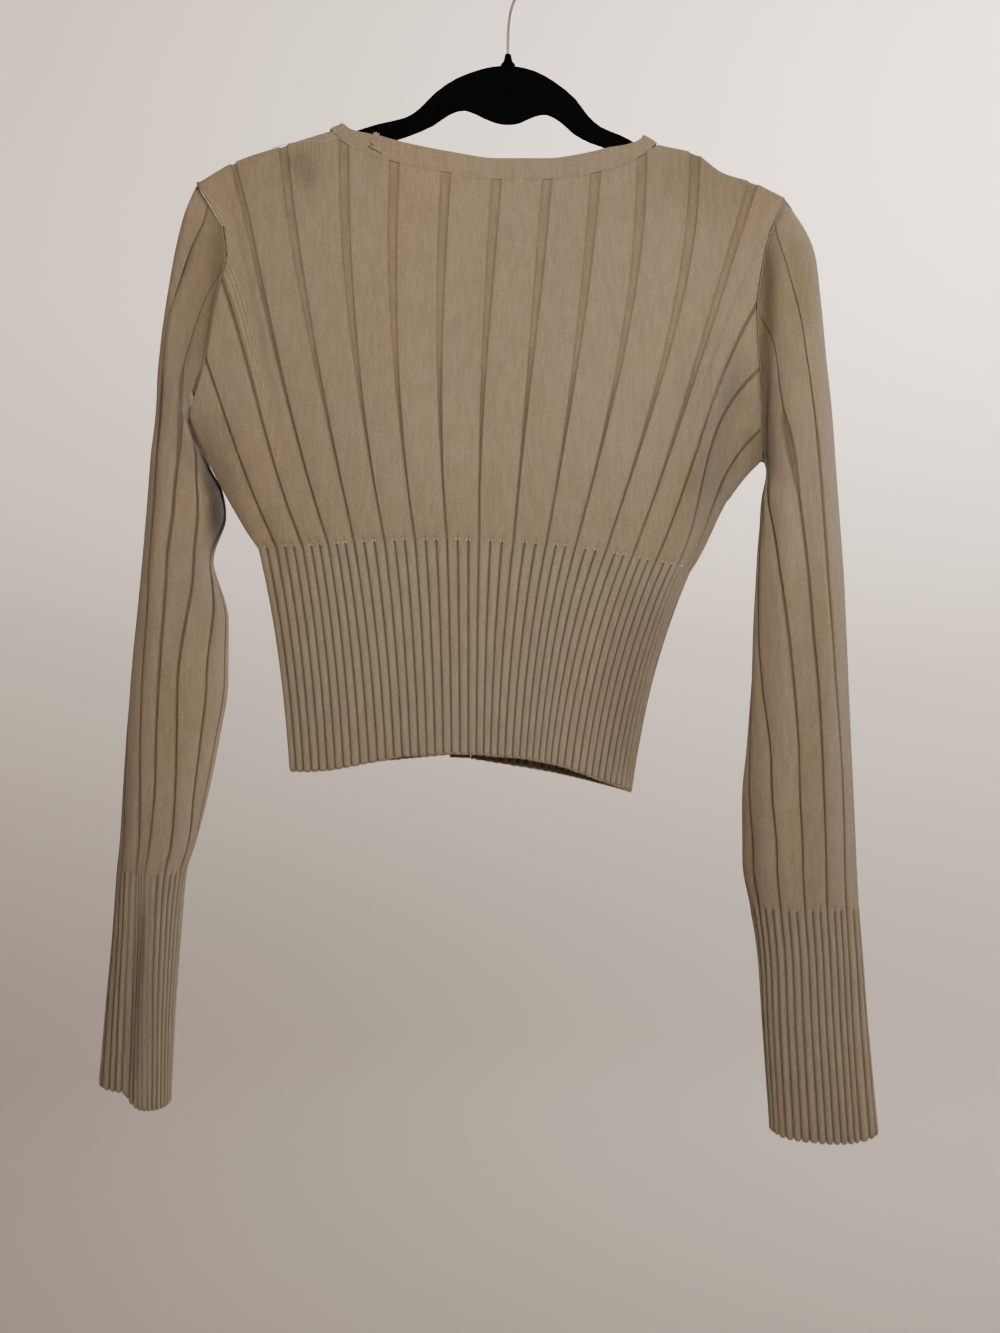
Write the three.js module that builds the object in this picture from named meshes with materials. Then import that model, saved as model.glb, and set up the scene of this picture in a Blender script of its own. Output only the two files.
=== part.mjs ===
// A cropped knitted cardigan hanging on a slim flocked hanger. Millimetres, +Z up.
// The garment's back faces -Y and its left side is at -X. The origin is the hook's seat:
// the underside of the wire at the top of the hook, where a rail carries it.
import * as THREE from 'three';

// ---- driving dimensions ----
const wall = 2;                 // knitted cloth, ribs included
const seamGap = 0.3;            // between pieces at a seam
const halfGap = seamGap / 2;
const shoulderRoll = 5.4;       // cloth rounding over the hanger's arm
const bandWidth = 15;           // neckband and front bands
const neckBandEnd = 10;         // band width where it turns over the shoulder seam
const buttonCount = 6;
const buttonRadius = 5.6;
const buttonThickness = 2.4;
const hookWire = 2.6;           // wire diameter
const hookInner = 21;           // inner radius of the hook
const hangerThickness = 5;
const hangerEdge = 1.1;         // rounding of the hanger's edges

const knitColour = 0x98866f;
const hangerColour = 0x0b0a0a;
const buttonColour = 0x8a7860;
const chromeColour = 0xc9c9c9;

// ---- tables: x and z in mm, ribs counted from the left of the back ----
// The knitted rib lines of the back: where each crosses the hem and the waist, and how far it
// leans sideways for each mm down, just above the waist.
const backRibs = [
  { rib: -0.67, hem: -153, hemZ: -588, waist: -175, waistZ: -433, waistLean: 0.60 },
  { rib: 0, hem: -142, hemZ: -588, waist: -161, waistZ: -433, waistLean: 0.45 },
  { rib: 1, hem: -125, hemZ: -587, waist: -142, waistZ: -432.5, waistLean: 0.40 },
  { rib: 2, hem: -108, hemZ: -584, waist: -124, waistZ: -431.5, waistLean: 0.32 },
  { rib: 3, hem: -90, hemZ: -580.5, waist: -106, waistZ: -430.5, waistLean: 0.20 },
  { rib: 4, hem: -73, hemZ: -577, waist: -85, waistZ: -429.5, waistLean: 0.18 },
  { rib: 5, hem: -56, hemZ: -576, waist: -64, waistZ: -429, waistLean: 0.14 },
  { rib: 6, hem: -39, hemZ: -575, waist: -42, waistZ: -429, waistLean: 0.08 },
  { rib: 7, hem: -22, hemZ: -575.5, waist: -20, waistZ: -429.5, waistLean: 0 },
  { rib: 8, hem: -4, hemZ: -577, waist: 4, waistZ: -430.5, waistLean: -0.09 },
  { rib: 9, hem: 13, hemZ: -579, waist: 26, waistZ: -432, waistLean: -0.18 },
  { rib: 10, hem: 30, hemZ: -582, waist: 47, waistZ: -434, waistLean: -0.26 },
  { rib: 11, hem: 46, hemZ: -587, waist: 69, waistZ: -437, waistLean: -0.32 },
  { rib: 12, hem: 61, hemZ: -592, waist: 88, waistZ: -440, waistLean: -0.37 },
  { rib: 13, hem: 74, hemZ: -597, waist: 104, waistZ: -443, waistLean: -0.43 },
  { rib: 14, hem: 82, hemZ: -602, waist: 113, waistZ: -446, waistLean: -0.50 },
  { rib: 15, hem: 86, hemZ: -604, waist: 120, waistZ: -448, waistLean: -0.65 },
  { rib: 15.67, hem: 88, hemZ: -604, waist: 127, waistZ: -449, waistLean: -0.70 },
];

// How far the rib lines lean at their top ends. Beside an armhole they follow its curve.
const backTopLeans = [
  { rib: -0.67, lean: 0.38 },
  { rib: 1, lean: 0.34 },
  { rib: 1.4, lean: 0.55 },
  { rib: 1.7, lean: 0.66 },
  { rib: 2, lean: 0.38 },
  { rib: 3, lean: 0.10 },
  { rib: 4, lean: 0 },
  { rib: 6, lean: -0.06 },
  { rib: 9, lean: -0.08 },
  { rib: 10, lean: 0 },
  { rib: 11, lean: 0 },
  { rib: 12, lean: -0.32 },
  { rib: 12.22, lean: -0.66 },
  { rib: 12.75, lean: -0.52 },
  { rib: 13, lean: -0.60 },
  { rib: 14, lean: -1.10 },
  { rib: 15.67, lean: -1.20 },
];
const frontTopLeans = [
  { rib: -0.67, lean: 0.38 },
  { rib: 1, lean: 0.34 },
  { rib: 1.4, lean: 0.55 },
  { rib: 1.7, lean: 0.66 },
  { rib: 2.2, lean: 0.34 },
  { rib: 3.74, lean: 0.14 },
  { rib: 6.5, lean: 0.08 },
  { rib: 7.5, lean: -0.04 },
  { rib: 10.36, lean: -0.10 },
  { rib: 11.8, lean: -0.34 },
  { rib: 12.22, lean: -0.66 },
  { rib: 12.75, lean: -0.52 },
  { rib: 13, lean: -0.60 },
  { rib: 14, lean: -1.10 },
  { rib: 15.67, lean: -1.20 },
];

// The panels' top edges, in order from the left underarm to the right one.
const armholeLeft = [
  { rib: -0.67, x: -223, z: -340 },
  { rib: 0, x: -210, z: -302 },
  { rib: 0.5, x: -204, z: -270 },
  { rib: 1, x: -199, z: -247 },
  { rib: 1.2, x: -195, z: -232 },
  { rib: 1.4, x: -198, z: -209 },
  { rib: 1.55, x: -207, z: -193 },
  { rib: 1.7, x: -218, z: -178 },
];
const shoulderLeft = [
  { rib: 1.7, x: -218, z: -178 },
  { rib: 2, x: -192, z: -163 },
  { rib: 3, x: -157, z: -151 },
  { rib: 3.74, x: -125, z: -141 },
];
const backNeck = [
  { rib: 3.74, x: -125, z: -141 },
  { rib: 3.85, x: -120.5, z: -145.5 },
  { rib: 4, x: -114, z: -151 },
  { rib: 4.5, x: -96, z: -159.5 },
  { rib: 5, x: -79, z: -164.5 },
  { rib: 6, x: -43, z: -172 },
  { rib: 7, x: -8, z: -177 },
  { rib: 8, x: 27, z: -177 },
  { rib: 9, x: 61, z: -172 },
  { rib: 9.6, x: 80, z: -166.5 },
  { rib: 10, x: 93, z: -160 },
  { rib: 10.22, x: 99.5, z: -155 },
  { rib: 10.36, x: 104, z: -150.5 },
];
const shoulderRight = [
  { rib: 10.36, x: 104, z: -150.5 },
  { rib: 11, x: 130, z: -156.5 },
  { rib: 11.5, x: 150, z: -170.5 },
  { rib: 12, x: 171, z: -177 },
  { rib: 12.22, x: 194, z: -188 },
];
const armholeRight = [
  { rib: 12.22, x: 194, z: -188 },
  { rib: 12.5, x: 183, z: -210 },
  { rib: 12.75, x: 176, z: -237 },
  { rib: 13, x: 172, z: -266 },
  { rib: 14, x: 174, z: -310 },
  { rib: 15, x: 176, z: -351 },
  { rib: 15.67, x: 178, z: -371 },
];
const neckClearance = [
  { x: -125, z: -141 },
  { x: -119, z: -134 },
  { x: -100, z: -128 },
  { x: 80, z: -137 },
  { x: 98, z: -143 },
  { x: 104, z: -150.5 },
];
const veeLeft = [
  { rib: 3.74, x: -125, z: -141 },
  { rib: 3.85, x: -124, z: -147.5 },
  { rib: 4.4, x: -113, z: -172 },
  { rib: 5.1, x: -88, z: -224 },
  { rib: 5.8, x: -58, z: -276 },
  { rib: 6.5, x: -21.5, z: -330 },
];
const veeRight = [
  { rib: 7.5, x: -6.5, z: -330 },
  { rib: 8.3, x: 34, z: -280 },
  { rib: 9, x: 66, z: -230 },
  { rib: 9.7, x: 92, z: -182 },
  { rib: 10.25, x: 103.2, z: -157 },
  { rib: 10.36, x: 104, z: -150.5 },
];
// Front ribs are even between the side seam and the front edge.
const frontLeftRibs = [
  { rib: -0.67, hem: -153, hemZ: -588, waist: -175, waistZ: -433, waistLean: 0.60 },
  { rib: 6.5, hem: -41.5, hemZ: -583, waist: -32.5, waistZ: -431, waistLean: 0.06 },
];
const frontRightRibs = [
  { rib: 7.5, hem: -26.5, hemZ: -586, waist: -17.5, waistZ: -432, waistLean: -0.06 },
  { rib: 11, hem: 38, hemZ: -594, waist: 64, waistZ: -440, waistLean: -0.32 },
  { rib: 15.67, hem: 88, hemZ: -604, waist: 127, waistZ: -449, waistLean: -0.70 },
];

// The widest line of the body, and how far front and back swell from the middle plane.
const bodyWidths = [
  { z: -610, left: -153, right: 88, swell: 12 },
  { z: -520, left: -160, right: 102, swell: 13 },
  { z: -440, left: -175, right: 131, swell: 14 },
  { z: -400, left: -196, right: 152, swell: 19 },
  { z: -370, left: -212, right: 179, swell: 21 },
  { z: -340, left: -224, right: 190, swell: 20 },
  { z: -280, left: -228, right: 196, swell: 15 },
  { z: -230, left: -230, right: 200, swell: 9 },
  { z: -185, left: -232, right: 206, swell: 3 },
  { z: -140, left: -234, right: 210, swell: 0 },
];
// The fold that turns the right side of the back away.
const sideFold = { topX: 154, topZ: -270, footX: 116, footZ: -450, height: 7, width: 9 };

// Sleeve sections from the armhole to the cuff's end: the outer and inner edges, the middle's
// depth, how deep the tube is, and how much of the armhole's own curve is left in the section.
const sleeveLeftSections = [
  { outX: -225, outZ: -192, inX: -224, inZ: -344, midY: 1, deep: 27, ring: 0.42 },
  { outX: -232, outZ: -220, inX: -225, inZ: -349, midY: 3, deep: 33, ring: 0.14 },
  { outX: -238, outZ: -253, inX: -225, inZ: -355, midY: 5, deep: 38, ring: 0.03 },
  { outX: -243, outZ: -290, inX: -222, inZ: -362, midY: 6, deep: 42, ring: 0 },
  { outX: -247, outZ: -328, inX: -218, inZ: -374, midY: 7, deep: 45, ring: 0 },
  { outX: -250, outZ: -365, inX: -214, inZ: -391, midY: 7, deep: 48, ring: 0 },
  { outX: -253, outZ: -405, inX: -212, inZ: -413, midY: 7, deep: 50, ring: 0 },
  { outX: -256, outZ: -442, inX: -207, inZ: -444, midY: 7, deep: 52, ring: 0 },
  { outX: -260, outZ: -484, inX: -198, inZ: -484, midY: 6, deep: 53, ring: 0 },
  { outX: -264, outZ: -525, inX: -198, inZ: -525, midY: 5, deep: 54, ring: 0 },
  { outX: -267, outZ: -565, inX: -204, inZ: -565, midY: 5, deep: 54, ring: 0 },
  { outX: -269, outZ: -605, inX: -212, inZ: -605, midY: 4, deep: 54, ring: 0 },
  { outX: -271, outZ: -640, inX: -221, inZ: -640, midY: 4, deep: 53, ring: 0 },
  { outX: -273, outZ: -658, inX: -227, inZ: -660, midY: 4, deep: 51, ring: 0 },
  { outX: -276, outZ: -700, inX: -231, inZ: -703, midY: 4, deep: 50, ring: 0 },
  { outX: -281, outZ: -752, inX: -235, inZ: -758, midY: 4, deep: 50, ring: 0 },
  { outX: -286, outZ: -807, inX: -238, inZ: -819, midY: 4, deep: 50, ring: 0 },
];
const sleeveRightSections = [
  { outX: 204, outZ: -205, inX: 178.5, inZ: -373, midY: -3, deep: 30, ring: 0.42 },
  { outX: 213, outZ: -229, inX: 179, inZ: -376, midY: -6, deep: 38, ring: 0.14 },
  { outX: 216, outZ: -262, inX: 179.5, inZ: -380, midY: -8, deep: 44, ring: 0.03 },
  { outX: 219, outZ: -300, inX: 179, inZ: -385, midY: -9, deep: 48, ring: 0 },
  { outX: 223, outZ: -338, inX: 178, inZ: -393, midY: -9, deep: 50, ring: 0 },
  { outX: 226, outZ: -376, inX: 176.5, inZ: -405, midY: -8, deep: 51, ring: 0 },
  { outX: 229, outZ: -414, inX: 175, inZ: -424, midY: -7, deep: 52, ring: 0 },
  { outX: 232, outZ: -452, inX: 173.5, inZ: -455, midY: -6, deep: 53, ring: 0 },
  { outX: 234, outZ: -490, inX: 172, inZ: -490, midY: -5, deep: 54, ring: 0 },
  { outX: 236, outZ: -530, inX: 170.5, inZ: -530, midY: -4, deep: 54, ring: 0 },
  { outX: 238, outZ: -570, inX: 168, inZ: -570, midY: -3, deep: 53, ring: 0 },
  { outX: 240, outZ: -610, inX: 164.5, inZ: -610, midY: -3, deep: 50, ring: 0 },
  { outX: 242, outZ: -650, inX: 164.5, inZ: -650, midY: -3, deep: 44, ring: 0 },
  { outX: 244, outZ: -684, inX: 170, inZ: -684, midY: -3, deep: 34, ring: 0 },
  { outX: 247, outZ: -718, inX: 175, inZ: -718, midY: -3, deep: 29, ring: 0 },
  { outX: 251, outZ: -767, inX: 178, inZ: -767, midY: -3, deep: 27, ring: 0 },
  { outX: 258, outZ: -840, inX: 183, inZ: -839, midY: -3, deep: 26, ring: 0 },
];
const sleeveFold = { height: 1.8, count: 3 };   // soft folds round the sleeve, between armhole and cuff

// Where the grid lines of each panel lie.
const leftArmRibs = [-0.67, -0.35, 0, 0.5, 1, 1.2, 1.4, 1.55, 1.7];
const leftShoulderRibs = [2.1, 2.7, 3.2];
const neckRibs = [3.74, 3.85, 4, 4.5, 5.2, 6, 7, 8, 9, 9.6, 10, 10.22, 10.36];
const rightShoulderRibs = [10.9, 11.3, 11.8];
const rightArmRibs = [12.22, 12.5, 12.75, 13, 13.5, 14, 14.5, 15.2, 15.67];
const veeLeftRibs = [3.74, 3.85, 4.4, 5.1, 5.8, 6.5];
const veeRightRibs = [7.5, 8.3, 9, 9.7, 10.25, 10.36];
const waistbandRows = 4;
const bodyRows = 8;
const topDrops = [6.5, 1.6, 0];  // the last lines before a top edge, as distances below it

// ---- interpolation ----
// A named column of a table at a place along its key, on a curve with no overshoot.
function along(rows, key, column, at) {
  const last = rows.length - 1;
  let i = 0;
  while (i < last - 1 && at > rows[i + 1][key]) i += 1;
  const slope = (k) => (rows[k + 1][column] - rows[k][column]) / (rows[k + 1][key] - rows[k][key]);
  const tangent = (k) => {
    if (k === 0) return slope(0);
    if (k === last) return slope(last - 1);
    const before = slope(k - 1);
    const after = slope(k);
    return before * after <= 0 ? 0 : (2 * before * after) / (before + after);
  };
  const span = rows[i + 1][key] - rows[i][key];
  const t = THREE.MathUtils.clamp((at - rows[i][key]) / span, 0, 1);
  return hermite(t, span, rows[i][column], tangent(i), rows[i + 1][column], tangent(i + 1));
}

function hermite(t, span, start, startSlope, end, endSlope) {
  const t2 = t * t;
  const t3 = t2 * t;
  return start * (2 * t3 - 3 * t2 + 1) + end * (3 * t2 - 2 * t3)
    + span * (startSlope * (t3 - 2 * t2 + t) + endSlope * (t3 - t2));
}

const lerp = THREE.MathUtils.lerp;

// ---- the body's surface ----
// Height from which the cloth rounds down at a place across the body: the shoulders' top line,
// and over the neck a line clear of the bands, which pass in front of and behind the hanger's arms.
function shoulderHeight(x) {
  if (x < neckClearance[0].x) return along(shoulderLeft, 'x', 'z', x);
  if (x > neckClearance[neckClearance.length - 1].x) return along(shoulderRight, 'x', 'z', x);
  return along(neckClearance, 'x', 'z', x);
}

// How far the cloth stands from the middle plane.
function standOff(x, z) {
  const left = along(bodyWidths, 'z', 'left', z);
  const right = along(bodyWidths, 'z', 'right', z);
  const across = Math.min(1, Math.abs((2 * x - left - right) / (right - left)));
  const fall = THREE.MathUtils.clamp(shoulderHeight(x) - z, 0, shoulderRoll) / shoulderRoll;
  const roll = shoulderRoll * Math.sqrt(1 - (1 - fall) ** 2) * Math.sqrt(1 - across ** 16);
  return roll + along(bodyWidths, 'z', 'swell', z) * (1 - across ** 2.4) ** 0.6;
}

function foldHeight(x, z) {
  const down = (z - sideFold.topZ) / (sideFold.footZ - sideFold.topZ);
  const ridge = lerp(sideFold.topX, sideFold.footX, down);
  const fade = Math.sin(Math.PI * THREE.MathUtils.clamp(down * 0.8 + 0.1, 0, 1));
  return sideFold.height * fade * Math.exp(-(((x - ridge) / sideFold.width) ** 2));
}

const backDepth = (x, z) => standOff(x, z) + foldHeight(x, z);

// A vertex on the back (side -1) or front (side 1): its place and its outward normal.
function clothPoint(side, x, z, lift = 0) {
  const depth = side < 0 ? backDepth : standOff;
  const step = 1;
  const slopeX = (depth(x + step, z) - depth(x - step, z)) / (2 * step);
  const slopeZ = (depth(x, z + step) - depth(x, z - step)) / (2 * step);
  return {
    at: new THREE.Vector3(x, side * (halfGap + depth(x, z) + lift), z),
    normal: new THREE.Vector3(-slopeX, side, -slopeZ).normalize(),
  };
}

// At a seam the wall is turned square to it, so that neighbours meet face to face.
function squareTo(point, axes) {
  for (const axis of axes) point.normal[axis] = 0;
  point.normal.normalize();
  return point;
}

// ---- shells ----
// A closed wall from a grid of points with normals: rows[i][j]. ring joins the last column to the first.
function shell(rows, ring) {
  const columns = rows[0].length;
  const positions = [];
  for (const depth of [0, wall]) {
    for (const row of rows) {
      for (const point of row) {
        const p = point.at.clone().addScaledVector(point.normal, -depth);
        positions.push(p.x, p.y, p.z);
      }
    }
  }
  const inside = rows.length * columns;
  const at = (i, j) => i * columns + (j % columns);
  const faces = [];
  const quad = (a, b, c, d) => faces.push(a, b, c, a, c, d);
  const spans = ring ? columns : columns - 1;
  for (let i = 0; i < rows.length - 1; i += 1) {
    for (let j = 0; j < spans; j += 1) {
      quad(at(i, j), at(i, j + 1), at(i + 1, j + 1), at(i + 1, j));
      quad(inside + at(i, j), inside + at(i + 1, j), inside + at(i + 1, j + 1), inside + at(i, j + 1));
    }
  }
  // Both neighbours at a seam split their rims the same way: from the higher outer corner.
  const height = (k) => positions[3 * k + 2];
  const rim = (a, b) => {
    if (height(a) > height(b)) quad(a, inside + a, inside + b, b);
    else quad(b, a, inside + a, inside + b);
  };
  const top = rows.length - 1;
  for (let j = 0; j < spans; j += 1) {
    rim(at(0, j), at(0, j + 1));
    rim(at(top, j + 1), at(top, j));
  }
  if (!ring) {
    for (let i = 0; i < top; i += 1) {
      rim(at(i + 1, 0), at(i, 0));
      rim(at(i, columns - 1), at(i + 1, columns - 1));
    }
  }
  return outwards(positions, faces);
}

// Turns every face over if the body is inside out.
function outwards(positions, faces) {
  const v = (k) => new THREE.Vector3().fromArray(positions, faces[k] * 3);
  let volume = 0;
  for (let k = 0; k < faces.length; k += 3) volume += v(k).dot(v(k + 1).cross(v(k + 2)));
  if (volume < 0) faces.reverse();
  const geometry = new THREE.BufferGeometry();
  geometry.setAttribute('position', new THREE.Float32BufferAttribute(positions, 3));
  geometry.setIndex(faces);
  geometry.computeVertexNormals();
  return geometry;
}

// ---- panels ----
// One line of a panel, up a rib from the hem through the waist to its end on the top edge.
function ribLine(ribs, leans, edge, rib) {
  const value = (column) => along(ribs, 'rib', column, rib);
  const [hem, hemZ, waist, waistZ] = ['hem', 'hemZ', 'waist', 'waistZ'].map(value);
  const topX = along(edge, 'rib', 'x', rib);
  const topZ = along(edge, 'rib', 'z', rib);
  const bandLean = (hem - waist) / (waistZ - hemZ);
  const line = [];
  for (let i = 0; i < waistbandRows; i += 1) {
    const t = i / waistbandRows;
    const x = hermite(1 - t, waistZ - hemZ, waist, 1.6 * bandLean, hem, 0.5 * bandLean);
    line.push({ x, z: lerp(hemZ, waistZ, t) });
  }
  const height = topZ - waistZ;
  const topLean = along(leans, 'rib', 'lean', rib);
  for (const t of [...Array(bodyRows).keys()].map((i) => (i / bodyRows) * (1 - topDrops[0] / height))
    .concat(topDrops.map((drop) => 1 - drop / height))) {
    const x = hermite(1 - t, height, topX, topLean, waist, value('waistLean'));
    line.push({ x, z: lerp(waistZ, topZ, t) });
  }
  return line;
}

// edges: [{ rows, at }] from left to right, each with its table and its rib lines; the corner
// lines belong to two edges.
function panelRows(side, ribs, leans, edges) {
  const lines = [];
  for (const { rows, at } of edges) {
    for (const rib of at) {
      const shared = lines.length > 0 && lines[lines.length - 1].rib === rib;
      if (!shared) lines.push({ rib, points: ribLine(ribs, leans, rows, rib) });
    }
  }
  const grid = [];
  for (let i = 0; i < lines[0].points.length; i += 1) {
    grid.push(lines.map((line) => clothPoint(side, line.points[i].x, line.points[i].z)));
  }
  return { grid, ribs: lines.map((line) => line.rib) };
}

function squareSeams(side, panel, seams) {
  const { grid, ribs } = panel;
  const top = grid[grid.length - 1];
  ribs.forEach((rib, j) => {
    for (const { from, to, axis } of seams) {
      if (rib >= from && rib <= to) squareTo(top[j], [axis]);
    }
  });
  const sides = [];
  if (ribs[0] === leftArmRibs[0]) sides.push(0);
  if (ribs[ribs.length - 1] === rightArmRibs[rightArmRibs.length - 1]) sides.push(ribs.length - 1);
  for (const j of sides) {
    grid.forEach((row) => {
      row[j].at.y = side * halfGap;
      row[j].normal.set(j === 0 ? -1 : 1, 0, 0);
    });
    top[j].normal.set(0, 0, -1);
  }
  for (const corner of [shoulderLeft[0].rib, shoulderRight[4].rib]) {
    const j = ribs.indexOf(corner);
    if (j >= 0) top[j].normal.set(0, 0, 1);
  }
  ribs.forEach((rib, j) => {
    const onShoulder = (rib >= shoulderLeft[0].rib && rib <= shoulderLeft[3].rib)
      || (rib >= shoulderRight[0].rib && rib <= shoulderRight[4].rib);
    if (onShoulder) top[j].at.y = side * halfGap;
  });
  return panel;
}

const seams = [
  { from: leftArmRibs[0], to: shoulderLeft[0].rib, axis: 'x' },
  { from: shoulderLeft[0].rib, to: shoulderLeft[3].rib, axis: 'y' },
  { from: shoulderRight[0].rib, to: shoulderRight[4].rib, axis: 'y' },
  { from: shoulderRight[4].rib, to: rightArmRibs[8], axis: 'x' },
];
const leftHalf = [{ rows: armholeLeft, at: leftArmRibs }, { rows: shoulderLeft, at: leftShoulderRibs }];
const rightHalf = [{ rows: shoulderRight, at: rightShoulderRibs }, { rows: armholeRight, at: rightArmRibs }];

const back = squareSeams(-1, panelRows(-1, backRibs, backTopLeans, [
  ...leftHalf, { rows: backNeck, at: neckRibs }, ...rightHalf,
]), seams);
const frontLeft = squareSeams(1, panelRows(1, frontLeftRibs, frontTopLeans, [
  ...leftHalf, { rows: veeLeft, at: veeLeftRibs },
]), seams);
const frontRight = squareSeams(1, panelRows(1, frontRightRibs, frontTopLeans, [
  { rows: veeRight, at: veeRightRibs }, ...rightHalf,
]), seams);

// The buttonhole side laps over the button side, so it is lifted near its front edge.
const lap = wall + seamGap;
const lapReach = 40;
for (const row of frontRight.grid) {
  const edgeX = row[0].at.x;
  for (const point of row) {
    const near = THREE.MathUtils.clamp(1 - (point.at.x - edgeX) / lapReach, 0, 1);
    const low = THREE.MathUtils.clamp((shoulderHeight(point.at.x) - point.at.z) / lapReach, 0, 1);
    point.at.y += lap * THREE.MathUtils.smoothstep(near, 0, 1) * low;
  }
}

// ---- bands ----
// A strip along a line of edge points, widening away from the panel.
function bandRows(edge, side, turn, widthAt, lift) {
  const across = [0, 0.5, 1];
  return edge.map((point, k) => {
    const before = edge[Math.max(0, k - 1)];
    const after = edge[Math.min(edge.length - 1, k + 1)];
    const run = new THREE.Vector2(after.x - before.x, after.z - before.z).normalize();
    const out = new THREE.Vector2(-run.y * turn, run.x * turn);
    return across.map((t) => {
      const reach = lerp(seamGap, widthAt(k), t);
      return clothPoint(side, point.x + out.x * reach, point.z + out.y * reach, lift(k));
    });
  });
}

// The band narrows in view where it turns over the shoulder seam.
function bandWidthNear(stepsFromSeam) {
  return [neckBandEnd, neckBandEnd, 11.5, 13.5][stepsFromSeam] ?? bandWidth;
}

function flattenEnd(row, side) {
  for (const point of row) {
    point.at.y = side * halfGap;
    squareTo(point, ['y']);
  }
}

const places = (points) => points.map((point) => ({ x: point.at.x, z: point.at.z }));
const topRow = (panel) => panel.grid[panel.grid.length - 1];
const ribColumn = (panel, j) => panel.grid.map((row) => row[j]);

// Where the bands' free edges cross the shoulder seams.
const neckEnds = { left: { x: -116, z: -138.5 }, right: { x: 93.5, z: -145.5 } };
function neckbandRows() {
  const from = back.ribs.indexOf(neckRibs[0]);
  const edge = places(topRow(back).slice(from, from + neckRibs.length));
  const last = edge.length - 1;
  const width = (k) => bandWidthNear(Math.min(k, last - k));
  const rows = bandRows(edge, -1, 1, width, () => 0);
  for (const [k, end] of [[0, neckEnds.left], [last, neckEnds.right]]) {
    const start = edge[k];
    const inward = Math.sign(end.x - start.x) * seamGap;
    rows[k] = [0, 0.5, 1].map((t) => clothPoint(
      -1,
      lerp(start.x + inward, end.x, t),
      lerp(start.z, end.z, t),
    ));
    flattenEnd(rows[k], -1);
  }
  return rows;
}

function frontBandRows(panel, edgeColumn, veeCount, turn, lift, end) {
  const upright = places(ribColumn(panel, edgeColumn));
  const top = topRow(panel);
  const vee = edgeColumn === 0
    ? places(top.slice(1, veeCount))
    : places(top.slice(panel.ribs.length - veeCount, -1).reverse());
  const edge = [...upright, ...vee];
  const last = edge.length - 1;
  const width = (k) => bandWidthNear(last - k);
  const rows = bandRows(edge, 1, turn, width, (k) => (k >= last - 2 ? 0 : lift));
  const start = edge[last];
  const inward = Math.sign(end.x - start.x) * seamGap;
  rows[last] = [0, 0.5, 1].map((t) => clothPoint(
    1,
    lerp(start.x + inward, end.x, t),
    lerp(start.z, end.z, t),
  ));
  flattenEnd(rows[last], 1);
  return rows;
}

// ---- sleeves ----
// The armhole as one ring: from the shoulder point down the back to the underarm and up the front.
function armholeRing(front, armRibs, shift) {
  const column = (panel, rib) => topRow(panel)[panel.ribs.indexOf(rib)];
  const down = armRibs.map((rib) => column(back, rib));
  const up = armRibs.slice(1, -1).reverse().map((rib) => column(front, rib));
  const ring = [...down, ...up].map((point) => ({
    at: point.at.clone().add(new THREE.Vector3(shift, 0, 0)),
    normal: point.normal.clone(),
  }));
  ring[0].at.y = 0;
  ring[armRibs.length - 1].at.y = 0;
  return ring;
}

// Angles round the sleeve, in step with the armhole ring's own lengths.
function ringAngles(ring, half) {
  const turn = [];
  for (const [from, to] of [[0, half], [half, ring.length]]) {
    const lengths = [0];
    for (let k = from; k < to; k += 1) {
      const next = ring[(k + 1) % ring.length];
      lengths.push(lengths[lengths.length - 1] + ring[k].at.distanceTo(next.at));
    }
    const total = lengths[lengths.length - 1];
    for (let k = from; k < to; k += 1) {
      turn.push(Math.PI * ((from === 0 ? 0 : 1) + lengths[k - from] / total));
    }
  }
  return turn;
}

function sleeveSection(section, angle, calm) {
  const out = new THREE.Vector3(section.outX, section.midY, section.outZ);
  const inner = new THREE.Vector3(section.inX, section.midY, section.inZ);
  const middle = out.clone().lerp(inner, 0.5);
  const fold = calm * sleeveFold.height * Math.cos(sleeveFold.count * 2 * angle);
  const reach = out.clone().sub(middle);
  const point = middle.clone().addScaledVector(reach, Math.cos(angle));
  point.y -= (section.deep / 2 + fold) * Math.sin(angle);
  return point;
}

function sleeveRows(ring, half, sections) {
  const angles = ringAngles(ring, half);
  const base = { outX: ring[0].at.x, outZ: ring[0].at.z, inX: ring[half].at.x, inZ: ring[half].at.z };
  const start = { ...base, midY: 0, deep: sections[0].deep };
  const rows = [ring];
  sections.forEach((section, k) => {
    const calm = Math.sin((Math.PI * (k + 1)) / sections.length) ** 2;
    rows.push(angles.map((angle, j) => {
      const own = ring[j].at.clone().sub(sleeveSection(start, angle, 0));
      return { at: sleeveSection(section, angle, calm).addScaledVector(own, section.ring) };
    }));
  });
  for (let i = 1; i < rows.length; i += 1) {
    for (let j = 0; j < angles.length; j += 1) rows[i][j].normal = tubeNormal(rows, i, j);
  }
  return rows;
}

// Outward normal of a tube of sections, from its neighbours.
function tubeNormal(rows, i, j) {
  const count = rows[i].length;
  const round = rows[i][(j + 1) % count].at.clone().sub(rows[i][(j + count - 1) % count].at);
  const along = rows[Math.min(rows.length - 1, i + 1)][j].at.clone().sub(rows[i - 1][j].at);
  const normal = round.cross(along).normalize();
  const centre = rows[i].reduce((sum, point) => sum.add(point.at), new THREE.Vector3());
  centre.multiplyScalar(1 / count);
  if (normal.dot(rows[i][j].at.clone().sub(centre)) < 0) normal.negate();
  return normal;
}

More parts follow.
